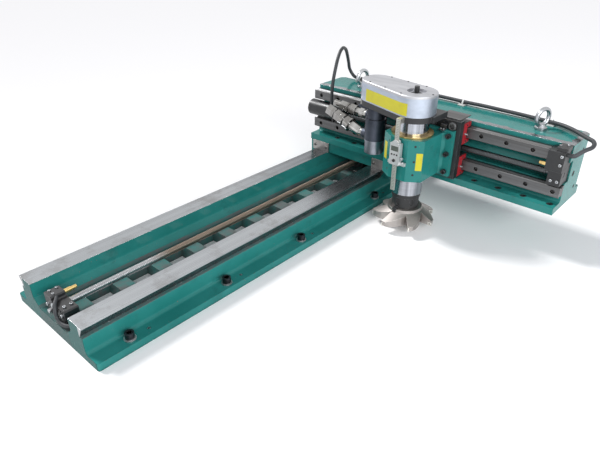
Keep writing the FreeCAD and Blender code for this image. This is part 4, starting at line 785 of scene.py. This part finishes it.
# Metals: bright, dark, roughness, grain. Plastics: clean, soiled, roughness, relief, wear.
finishes = {
    "bedPaint": paintedCasting("bedPaint", bedGround, bedShade, bedPlaces["grinding"],
                               bedSoot, bedEnd),
    "beamPaint": paintedCasting("beamPaint", beamGround, beamShade, beamPlaces["scraping"],
                                wrinkledTop=True),
    "green": paintedCasting("machinePaint"),
    "ground": metalFinish("groundSteel", (0.42, 0.41, 0.40, 1), (0.24, 0.23, 0.22, 1), 0.34,
                          (500.0, 500.0, 500.0), wear=(0.6, 0.6, 0.58, 1)),
    "rail": metalFinish("railSteel", (0.175, 0.178, 0.185, 1), (0.085, 0.082, 0.080, 1), 0.46,
                        (10.0, 700.0, 700.0), wear=(0.34, 0.33, 0.32, 1), dirtAndShade=0.6),
    "zinc": metalFinish("brightZinc", (0.62, 0.64, 0.66, 1), (0.34, 0.35, 0.37, 1), 0.28,
                        (90.0, 90.0, 90.0), dirtAndShade=0.8),
    "fitting": metalFinish("fittingSteel", (0.52, 0.52, 0.51, 1), (0.15, 0.14, 0.13, 1), 0.17,
                           (260.0, 60.0, 60.0), dirtAndShade=0.85, wear=(0.62, 0.62, 0.62, 1)),
    "brass": metalFinish("turnedBrass", (0.80, 0.58, 0.24, 1), (0.52, 0.36, 0.14, 1), 0.28,
                         (500.0, 30.0, 500.0), dirtAndShade=0.5),
    "cutter": metalFinish("cutterNickel", (0.44, 0.41, 0.39, 1), (0.34, 0.315, 0.30, 1), 0.44,
                          (420.0, 420.0, 420.0), wear=(0.62, 0.6, 0.58, 1), dirtAndShade=0.7),
    "carbide": metalFinish("carbideCoat", (0.85, 0.83, 0.78, 1), (0.62, 0.60, 0.55, 1), 0.22,
                           (300.0, 300.0, 300.0)),
    "scale": metalFinish("scaleSteel", (0.80, 0.80, 0.80, 1), (0.62, 0.62, 0.62, 1), 0.30,
                         (700.0, 700.0, 8.0), metallic=0.6),
    "darkScrew": metalFinish("beamScrewSteel", (0.105, 0.11, 0.115, 1),
                             (0.05, 0.053, 0.056, 1), 0.34, (20.0, 300.0, 300.0), dirtAndShade=0.5),
    "chrome": shadedChrome("hardChrome"),
    "washered": twoMetals("boltBlack", washerLow,
                          ((0.070, 0.074, 0.084, 1), (0.03, 0.032, 0.036, 1), 0.26),
                          ((0.66, 0.67, 0.68, 1), (0.40, 0.41, 0.42, 1), 0.34),
                          (300.0, 300.0, 300.0)),
    "motorTwo": twoMetals("motorCasting", motorLow,
                          ((0.085, 0.095, 0.12, 1), (0.045, 0.05, 0.065, 1), 0.42),
                          ((0.36, 0.38, 0.42, 1), (0.13, 0.14, 0.17, 1), 0.26),
                          (240.0, 240.0, 240.0)),
    "bedScrew": twoMetals("bedScrewSteel", screwWiped,
                          ((0.30, 0.245, 0.20, 1), (0.12, 0.09, 0.07, 1), 0.30),
                          ((0.62, 0.63, 0.65, 1), (0.30, 0.30, 0.31, 1), 0.22),
                          (90.0, 12.0, 90.0)),
    "scaleBar": twoMetals("scaleFace", scaleMarks,
                          ((0.66, 0.65, 0.60, 1), (0.52, 0.51, 0.47, 1), 0.34),
                          ((0.05, 0.05, 0.05, 1), (0.04, 0.04, 0.04, 1), 0.5),
                          (700.0, 700.0, 8.0)),
    "cover": twoMetals("coverAlloy", coverTopPaintedLight,
                       ((0.46, 0.51, 0.59, 1), (0.36, 0.40, 0.47, 1), 0.36),
                       ((0.52, 0.525, 0.55, 1), (0.42, 0.425, 0.45, 1), 0.42),
                       (160.0, 600.0, 600.0)),
    "black": plasticFinish("blackSteel", (0.009, 0.010, 0.012, 1), (0.032, 0.031, 0.030, 1),
                           0.40, 0.2, (0.13, 0.13, 0.14, 1)),
    "motorBlack": plasticFinish("motorEnamel", (0.009, 0.010, 0.012, 1),
                                (0.034, 0.034, 0.036, 1), 0.36, 0.35, (0.10, 0.10, 0.11, 1)),
    "hose": plasticFinish("hoseRubber", (0.020, 0.023, 0.027, 1), (0.07, 0.073, 0.078, 1),
                          0.50, 0.5, peel=500.0),
    "label": plasticFinish("yellowFilm", (0.64, 0.58, 0.014, 1), (0.45, 0.38, 0.05, 1),
                           0.34, 0.06),
    # near black: the reader's dark keys, and painted shade for holes drawn as shallow discs
    "darkKeysAndHoleShade": plasticFinish("holeShadeAndDarkKeys", (0.006, 0.006, 0.006, 1), (0.02, 0.018, 0.015, 1),
                          0.7, 0.4),
    "glass": plasticFinish("displayGlass", (0.10, 0.115, 0.10, 1), (0.14, 0.15, 0.13, 1),
                           0.14, 0.02),
    "seal": plasticFinish("redSeal", (0.42, 0.012, 0.022, 1), (0.20, 0.015, 0.018, 1),
                          0.38, 0.2),
    "white": plasticFinish("whitePlastic", (0.80, 0.80, 0.78, 1), (0.50, 0.49, 0.45, 1),
                           0.42, 0.15),
}
print("finishes made:", len(finishes))


# What each CAD piece is made of

pieceFinish = {
    "bed_casting": "bedPaint", "beam_casting": "beamPaint", "saddle": "green",
    "head_casting": "green", "bed_bolts": "washered", "near_block": "black",
    "near_sensor": "brass", "far_block": "black", "bed_motor": "motorBlack",
    "bed_screw": "bedScrew", "saddle_gib": "ground", "way_wipers": "ground",
    "bed_nut": "black", "foot_bolts": "black", "upper_rail": "rail", "lower_rail": "rail",
    "right_block": "black", "left_block": "black", "beam_motor": "motorBlack",
    "beam_sensor": "brass", "eye_bolts": "zinc", "beam_cable": "hose",
    "cable_clips": "white", "beam_screw": "darkScrew", "upper_blocks": "rail",
    "lower_blocks": "rail", "block_seals": "seal", "carriage_plate": "black",
    "beam_nut": "ground", "head_bolts": "black", "quill_ring": "brass",
    "carriage_cover": "rail", "scale_reader": "scale", "quill": "chrome",
    "belt_plate": "black", "belt_cover": "cover", "drive_motor": "motorTwo",
    "hose_couplings": "fitting", "scale_bar": "scaleBar", "spindle_nose": "black",
    "face_cutter": "cutter", "cutter_inserts": "carbide", "drawbar_end": "black",
}
for nodeName, finishName in pieceFinish.items():
    piece = bpy.data.objects.get(nodeName)
    if piece is None:
        print("no CAD piece", nodeName)
        continue
    for slot in piece.material_slots:
        slot.material = finishes[finishName]
print("finishes given to", len(pieceFinish), "CAD pieces")


# Shapes that the small pieces are made from

def dressed(name, shape, finish, body):
    # Turns a finished bmesh into a piece that rides on its body.
    bmesh.ops.remove_doubles(shape, verts=shape.verts, dist=1e-6)
    bmesh.ops.holes_fill(shape, edges=shape.edges, sides=5)  # slivers round a hex socket
    bmesh.ops.recalc_face_normals(shape, faces=shape.faces)
    mesh = bpy.data.meshes.new(name)
    shape.to_mesh(mesh)
    shape.free()
    mesh.materials.append(finishes[finish])
    item = newObject(name, mesh)
    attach(item, body)
    return item


def profileLine(shape, start, along, profile):
    # An open line in one plane with the axis, from (distance along, radius) pairs.
    across = along.orthogonal().normalized()
    dots = [shape.verts.new(start + along * far + across * wide) for far, wide in profile]
    return dots + [shape.edges.new(pair) for pair in zip(dots, dots[1:])]


def spun(shape, start, along, profile, steps=24):
    bmesh.ops.spin(shape, geom=profileLine(shape, start, along, profile), cent=start,
                   axis=along, angle=math.tau, steps=steps, use_merge=True)


def capScrew(shape, seat, along, wide, high):
    # Socket head: chamfered rim, recess with six flats.
    rim = wide / 2
    spun(shape, seat, along, [(0, rim), (high * 0.85, rim), (high, rim * 0.88),
                              (high, rim * 0.56)])
    spun(shape, seat, along, [(high, rim * 0.56), (high * 0.45, rim * 0.52),
                              (high * 0.45, 0)], steps=6)


def pulledOut(shape, edges, way):
    # Edges drawn out into a strip.
    pulled = bmesh.ops.extrude_edge_only(shape, edges=edges)
    moved = [item for item in pulled["geom"] if isinstance(item, bmesh.types.BMVert)]
    bmesh.ops.translate(shape, verts=moved, vec=way)


def thickened(item, thickness):
    wall = item.modifiers.new("wall", "SOLIDIFY")
    wall.thickness = thickness
    wall.offset = 0


def plate(shape, centre, along, up, size, thick, corner):
    # A flat plate that stands on the plane through centre, with rounded corners.
    out = along.cross(up)
    turn = Matrix((along, up, out)).transposed().to_4x4()
    lay = Matrix.Translation(centre) @ turn @ Matrix.Diagonal((size[0], size[1], 1, 1))
    made = bmesh.ops.create_grid(shape, x_segments=1, y_segments=1, size=0.5, matrix=lay)
    dots = made["verts"]
    raised = bmesh.ops.extrude_face_region(shape, geom=[dots[0].link_faces[0]])
    top = [item for item in raised["geom"] if isinstance(item, bmesh.types.BMVert)]
    bmesh.ops.translate(shape, verts=top, vec=out * thick)
    upright = [edge for dot in dots for edge in dot.link_edges if edge.other_vert(dot) in top]
    bmesh.ops.bevel(shape, geom=upright, offset=corner, segments=4, affect="EDGES",
                    profile=0.5, material=-1)


# Lead screws: turned to the thread's root, with one turn of ridges wound and repeated

thread = {
    "turn": 0.010,  # one turn of the ridges
    "starts": 2,
    "core": 0.0091,
    "outer": 0.010,
    "land": 0.0017,
    "root": 0.0030,
    "sunk": 0.0003,  # how deep the ridges stand in the core
    "lead": 0.2,  # the first ridge's start, as a share of a turn
    "steps": 16,
}

screws = {
    "bedScrew": {
        "node": "bed_screw", "finish": "bedScrew",
        "start": Vector((0, -0.754, 0.071)), "along": yAxis, "threaded": (0.058, 1.452),
        "profile": [(0, 0), (0, 0.0055), (0.016, 0.0055), (0.016, 0.0075), (0.055, 0.0075),
                    (0.055, 0.010), (0.058, 0.010), (0.060, thread["core"]),
                    (1.450, thread["core"]), (1.452, 0.010), (1.453, 0.010),
                    (1.453, 0.0075), (1.515, 0.0075), (1.515, 0)],
    },
    "beamScrew": {
        "node": "beam_screw", "finish": "darkScrew",
        "start": Vector((-0.072, 0.440, 0.255)), "along": xAxis, "threaded": (0.039, 0.771),
        "profile": [(0, 0), (0, 0.0055), (0.006, 0.0055), (0.006, 0.0075), (0.036, 0.0075),
                    (0.036, 0.010), (0.039, 0.010), (0.041, thread["core"]),
                    (0.768, thread["core"]), (0.770, 0.010), (0.773, 0.010),
                    (0.773, 0.0075), (0.821, 0.0075), (0.821, 0)],
    },
}


def threadedShaft(name):
    screw = screws[name]
    node, finish, start, along = (screw[key] for key in ("node", "finish", "start", "along"))
    shaft = bmesh.new()
    spun(shaft, start, along, screw["profile"])
    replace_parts(dressed(name + "Shaft", shaft, finish, node), node)
    ridge = bmesh.new()
    turn = thread["turn"]
    foot = thread["core"] - thread["sunk"]
    section = [(-thread["root"] / 2, foot), (-thread["land"] / 2, thread["outer"]),
               (thread["land"] / 2, thread["outer"]), (thread["root"] / 2, foot)]
    first, last = screw["threaded"]
    for index in range(thread["starts"]):
        seat = start + along * (first + turn * (index / thread["starts"] + thread["lead"]))
        bmesh.ops.spin(ridge, geom=profileLine(ridge, seat, along, section), cent=seat,
                       axis=along, angle=math.tau, dvec=along * (turn / thread["steps"]),
                       steps=thread["steps"], use_merge=False)
    item = dressed(name + "Thread", ridge, finish, node)
    repeat = item.modifiers.new("turns", "ARRAY")
    repeat.use_relative_offset = False
    repeat.use_constant_offset = True
    repeat.constant_offset_displace = along * turn
    repeat.count = int((last - first) / turn) - 1
    repeat.use_merge_vertices = True
    repeat.merge_threshold = 0.00001


threadedShaft("bedScrew")
threadedShaft("beamScrew")
print("lead screws threaded")


# Belt cover: label and screws

cover = {
    "big": Vector((0.330, 0.300, 0)),  # middle of the big end
    "radius": 0.064,
    "along": Vector((-0.9596, 0.2814, 0)),  # the front flat's direction
    "out": Vector((-0.2814, -0.9596, 0)),
    "top": 0.447,
    "label": {"heights": (0.387, 0.424), "reach": 0.158, "wrap": 0.46, "film": 0.0003},
    "screw": (0.0055, 0.0012),  # head width and height
    "inset": 0.007,
    "front": {"start": Vector((0.3120, 0.2386, 0)), "reaches": (0.006, 0.078, 0.150)},
    "back": {"start": Vector((0.3392, 0.3636, 0)), "reaches": (0.010, 0.082, 0.150),
             "along": Vector((-0.9903, 0.1392, 0)), "out": Vector((0.1392, 0.9903, 0))},
    "ends": ((0.387, 0.296), (0.1225, 0.341)),
}


def addCoverLabel():
    # A bare yellow film along the front flat, wrapped a little way round the big end.
    label = cover["label"]
    shape = bmesh.new()
    foot = cover["big"] + cover["out"] * (cover["radius"] + label["film"])
    ends = [shape.verts.new(foot + zAxis * height) for height in label["heights"]]
    rim = shape.edges.new(ends)
    pulledOut(shape, [rim], cover["along"] * label["reach"])
    bmesh.ops.spin(shape, geom=ends + [rim], cent=cover["big"], axis=zAxis,
                   angle=label["wrap"], steps=10, use_merge=False)
    thickened(dressed("coverLabel", shape, "label", "quill"), label["film"])


def addCoverScrews():
    shape = bmesh.new()
    front, back, inset = cover["front"], cover["back"], cover["inset"]
    spots = [front["start"] - cover["out"] * inset + cover["along"] * reach
             for reach in front["reaches"]]
    spots += [back["start"] + back["along"] * reach - back["out"] * inset
              for reach in back["reaches"]]
    spots += [Vector((x, y, 0)) for x, y in cover["ends"]]
    for spot in spots:
        capScrew(shape, spot + zAxis * cover["top"], zAxis, *cover["screw"])
    dressed("coverScrews", shape, "black", "quill")


# Head: labels, and dark discs that paint the shade of tapped holes, on its two slanting facets

facets = {
    "right": {"corner": Vector((0.3607, 0.2294, 0)), "along": Vector((0.8224, 0.5689, 0)),
              "label": (0.0375, 0.251), "holes": 0.0225},  # reach and height; reach
    "left": {"corner": Vector((0.2594, 0.2570, 0)), "along": Vector((0.8224, -0.5689, 0)),
             "label": (0.017, 0.262), "holes": 0.0375},
}
headLabel = {"size": (0.0195, 0.056), "film": 0.0003, "corner": 0.001}
headHole = {"heights": (0.208, 0.251, 0.300), "steps": 20,
            "profile": [(0.0, 0.0036), (0.00025, 0.0034), (0.0001, 0.0024), (0.00005, 0.0)]}


def addHeadLabels():
    shape = bmesh.new()
    for facet in facets.values():
        reach, height = facet["label"]
        middle = facet["corner"] + facet["along"] * reach + zAxis * height
        plate(shape, middle, facet["along"], zAxis, headLabel["size"], headLabel["film"],
              headLabel["corner"])
    dressed("headLabels", shape, "label", "carriage")


def addHeadHoles():
    shape = bmesh.new()
    # painted shade: each hole is a shallow near-black disc
    for facet in facets.values():
        for height in headHole["heights"]:
            seat = facet["corner"] + facet["along"] * facet["holes"] + zAxis * height
            spun(shape, seat, facet["along"].cross(zAxis), headHole["profile"],
                 headHole["steps"])
    dressed("headHoles", shape, "darkKeysAndHoleShade", "carriage")


# Scale reader: display, keys, lock screw

reader = {
    "middle": 0.330,
    "face": 0.207,
    "display": {"height": 0.292, "size": (0.025, 0.015), "thick": 0.0008, "corner": 0.001},
    "keys": {"height": 0.273, "offsets": (-0.009, 0, 0.009),
             "profile": [(0, 0.0026), (0.0012, 0.0025), (0.0016, 0.0018), (0.0016, 0)]},
    "bigKey": {"height": 0.254,
               "profile": [(0, 0.0048), (0.003, 0.0046), (0.0036, 0.0038), (0.0036, 0)]},
    "lock": {"seat": Vector((0.347, 0.215, 0.262)), "steps": 14,
             "profile": [(0, 0.002), (0.003, 0.002), (0.003, 0.0045), (0.008, 0.0045),
                         (0.009, 0.0038), (0.009, 0)]},
    "screws": {"offsets": (-0.022, 0.022), "place": (0.2235, 0.246), "head": (0.006, 0.003)},
}


def addReaderFace():
    x, y = reader["middle"], reader["face"]
    display = bmesh.new()
    wanted = reader["display"]
    plate(display, Vector((x, y, wanted["height"])), xAxis, zAxis, wanted["size"],
          wanted["thick"], wanted["corner"])
    dressed("readerDisplay", display, "glass", "carriage")
    keys = bmesh.new()
    wanted = reader["keys"]
    for offset in wanted["offsets"]:
        spun(keys, Vector((x + offset, y, wanted["height"])), -yAxis, wanted["profile"], 20)
    wanted = reader["bigKey"]
    spun(keys, Vector((x, y, wanted["height"])), -yAxis, wanted["profile"])
    dressed("readerKeys", keys, "darkKeysAndHoleShade", "carriage")
    small = bmesh.new()
    wanted = reader["lock"]
    spun(small, wanted["seat"], xAxis, wanted["profile"], wanted["steps"])
    wanted = reader["screws"]
    for offset in wanted["offsets"]:
        capScrew(small, Vector((x + offset, *wanted["place"])), zAxis, *wanted["head"])
    dressed("readerScrews", small, "zinc", "carriage")


# Bearing blocks on the rails: grease nipples and seal screws

railBlocks = {
    "right": 0.446,  # faces of the seals
    "left": 0.214,
    "heights": (0.309, 0.201),
    "nippleY": 0.417,
    "hexFoot": [(0, 0.0035), (0.003, 0.0035), (0.003, 0)],
    "tip": [(0, 0.0026), (0.002, 0.0018), (0.003, 0.0018), (0.0042, 0.0027),
            (0.0058, 0.0024), (0.0068, 0.001), (0.0068, 0)],
    "tipLift": 0.0025,
    "screwY": 0.428,
    "screwReach": 0.026,
    "screw": (0.005, 0.0022),
}


def addGreaseNipples():
    shape = bmesh.new()
    for height in railBlocks["heights"]:
        seat = Vector((railBlocks["right"], railBlocks["nippleY"], height))
        spun(shape, seat, xAxis, railBlocks["hexFoot"], 6)
        spun(shape, seat + xAxis * railBlocks["tipLift"], xAxis, railBlocks["tip"], 18)
        seat = Vector((railBlocks["left"], railBlocks["nippleY"], height))
        spun(shape, seat, -xAxis, railBlocks["hexFoot"], 6)
    dressed("greaseNipples", shape, "zinc", "carriage")


def addSealScrews():
    shape = bmesh.new()
    for middle in railBlocks["heights"]:
        for side in (-1, 1):
            height = middle + side * railBlocks["screwReach"]
            for face, along in ((railBlocks["right"], xAxis), (railBlocks["left"], -xAxis)):
                capScrew(shape, Vector((face, railBlocks["screwY"], height)), along,
                         *railBlocks["screw"])
    dressed("sealScrews", shape, "black", "carriage")


# Screws of the lead screws' blocks, the bed's flanges and the way wipers

seatScrews = {
    "small": (0.007, 0.0035),  # head width and height
    "large": (0.0085, 0.0045),
    "beamTop": ((0.726, 0.430, 0.341), (0.742, 0.446, 0.341)),
    "beamFront": ((0.742, 0.412, 0.292), (0.742, 0.412, 0.318), (0.724, 0.422, 0.238),
                  (0.724, 0.422, 0.272), (0.742, 0.422, 0.238)),
    "nearLug": ((-0.039, -0.727, 0.096), (-0.021, -0.727, 0.096), (-0.039, -0.709, 0.096)),
    "nearTop": ((0.030, -0.727, 0.082), (0.030, -0.709, 0.082)),
    "nearFront": ((-0.036, -0.738, 0.066), (0.036, -0.738, 0.066)),
}
nearCap = {  # turned cap round the bed screw's near end
    "seat": Vector((0, -0.738, 0.071)), "steps": 32,
    "profile": [(0, 0.0145), (0.0025, 0.0145), (0.003, 0.014), (0.003, 0.008),
                (0.001, 0.0078)],
}
levelling = {"places": (-0.598, -0.293, 0.012, 0.402), "side": 0.177, "foot": 0.009,
             "size": (0.0098, 0.0124)}
wiper = {"middles": (-0.128, 0.150), "reach": 0.027, "face": (0.410, 0.1187),
         "size": (0.009, 0.004)}


def addSeatScrews(shape, places, along, size):
    for spot in seatScrews[places]:
        capScrew(shape, Vector(spot), along, *seatScrews[size])


def addBlockScrews():
    shape = bmesh.new()
    addSeatScrews(shape, "beamTop", zAxis, "small")
    addSeatScrews(shape, "beamFront", -yAxis, "large")
    dressed("beamBlockScrews", shape, "zinc", "beam")
    near = bmesh.new()
    addSeatScrews(near, "nearLug", zAxis, "small")
    addSeatScrews(near, "nearTop", zAxis, "large")
    addSeatScrews(near, "nearFront", -yAxis, "large")
    spun(near, nearCap["seat"], -yAxis, nearCap["profile"], nearCap["steps"])
    dressed("nearBlockScrews", near, "zinc", "bed")


def addLevellingScrews():
    # Socket set screws in the flanges' levelling holes, a little below their rims.
    shape = bmesh.new()
    for y in levelling["places"]:
        for x in (-levelling["side"], levelling["side"]):
            capScrew(shape, Vector((x, y, levelling["foot"])), zAxis, *levelling["size"])
    dressed("levellingScrews", shape, "zinc", "bed")


def addWiperScrews():
    shape = bmesh.new()
    for middle in wiper["middles"]:
        for side in (-wiper["reach"], wiper["reach"]):
            capScrew(shape, Vector((middle + side, *wiper["face"])), -yAxis, *wiper["size"])
    dressed("wiperScrews", shape, "black", "beam")


# Dark discs that paint the shade of tapped bores in the beam's long end

beamEnd = {
    "face": 0.754,
    "bores": ((0.520, 0.235, 0.009), (0.560, 0.300, 0.006), (0.560, 0.180, 0.006)),
    "profile": ((0, 1), (0.0003, 0.95), (0.0001, 0.7), (0.00005, 0)),  # radius as a share
}


def addBeamEnd():
    shape = bmesh.new()
    for y, z, radius in beamEnd["bores"]:
        spun(shape, Vector((beamEnd["face"], y, z)), xAxis,
             [(far, radius * share) for far, share in beamEnd["profile"]])
    dressed("beamEndHoles", shape, "darkKeysAndHoleShade", "beam")


# Bored boss and folded bracket beside the head, on the carriage plate's face

boss = {
    "seat": Vector((0.4215, 0.382, 0.338)), "steps": 32,
    "profile": [(0, 0.0125), (0.0075, 0.0125), (0.009, 0.0115), (0.009, 0.0085),
                (0.001, 0.008), (0.001, 0)],
}
bracket = {
    "left": 0.388,
    "fold": ((0.3815, 0.342), (0.366, 0.342), (0.366, 0.328), (0.352, 0.328)),
    "width": 0.019,
    "sheet": 0.002,
    "screws": (0.393, 0.402),
    "screwPlace": (0.359, 0.329),
    "screw": (0.005, 0.003),
}


def addPlateBracket():
    turned = bmesh.new()
    spun(turned, boss["seat"], -yAxis, boss["profile"], boss["steps"])
    dressed("plateBoss", turned, "rail", "carriage")
    strip = bmesh.new()
    dots = [strip.verts.new((bracket["left"], y, z)) for y, z in bracket["fold"]]
    lines = [strip.edges.new(pair) for pair in zip(dots, dots[1:])]
    pulledOut(strip, lines, xAxis * bracket["width"])
    thickened(dressed("plateBracket", strip, "black", "carriage"),
              bracket["sheet"])
    heads = bmesh.new()
    for x in bracket["screws"]:
        capScrew(heads, Vector((x, *bracket["screwPlace"])), zAxis, *bracket["screw"])
    dressed("bracketScrews", heads, "zinc", "carriage")


# White ties and their stuck-down bases, wherever a clip holds the hose

tie = {
    "places": (-0.086, 0.344, 0.641),
    "hose": (0.590, 0.3503),
    "profile": [(-0.0026, 0.0061), (-0.0026, 0.0070), (0.0026, 0.0070), (0.0026, 0.0061)],
    "steps": 28,
    "base": {"place": (0.5765, 0.3402), "size": (0.022, 0.013), "thick": 0.0035,
             "corner": 0.002},
    "lock": {"place": (0.5815, 0.3437), "size": (0.006, 0.005), "thick": 0.0055,
             "corner": 0.001},
}


def addHoseTies():
    shape = bmesh.new()
    for x in tie["places"]:
        spun(shape, Vector((x, *tie["hose"])), xAxis, tie["profile"], tie["steps"])
        for block in (tie["base"], tie["lock"]):
            plate(shape, Vector((x, *block["place"])), xAxis, yAxis, block["size"],
                  block["thick"], block["corner"])
    dressed("hoseTies", shape, "white", "beam")


# Short conduit from the near block's lug, across its face, to the channel's rising floor

conduit = {
    "radius": 0.0048,
    "route": ((-0.016, -0.722, 0.0895), (-0.003, -0.729, 0.0900), (0.010, -0.7405, 0.0890),
              (0.0195, -0.7462, 0.074), (0.0215, -0.7468, 0.058), (0.038, -0.7468, 0.0495),
              (0.058, -0.7425, 0.049), (0.072, -0.731, 0.0515), (0.085, -0.716, 0.054)),
}


def addNearConduit():
    data = bpy.data.curves.new("nearConduit", "CURVE")
    data.dimensions = "3D"
    data.bevel_depth = conduit["radius"]
    data.bevel_resolution = 5
    data.resolution_u = 16
    data.use_fill_caps = True
    line = data.splines.new("NURBS")
    line.points.add(len(conduit["route"]) - 1)
    for dot, spot in zip(line.points, conduit["route"]):
        dot.co = (*spot, 1)
    line.order_u = 3
    line.use_endpoint_u = True
    data.materials.append(finishes["hose"])
    item = newObject("nearConduit", data)
    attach(item, "bed")


addCoverLabel()
addCoverScrews()
addHeadLabels()
addHeadHoles()
addReaderFace()
addGreaseNipples()
addSealScrews()
addBlockScrews()
addLevellingScrews()
addBeamEnd()
addWiperScrews()
addPlateBracket()
addHoseTies()
addNearConduit()
print("small pieces set")

bpy.context.view_layer.update()
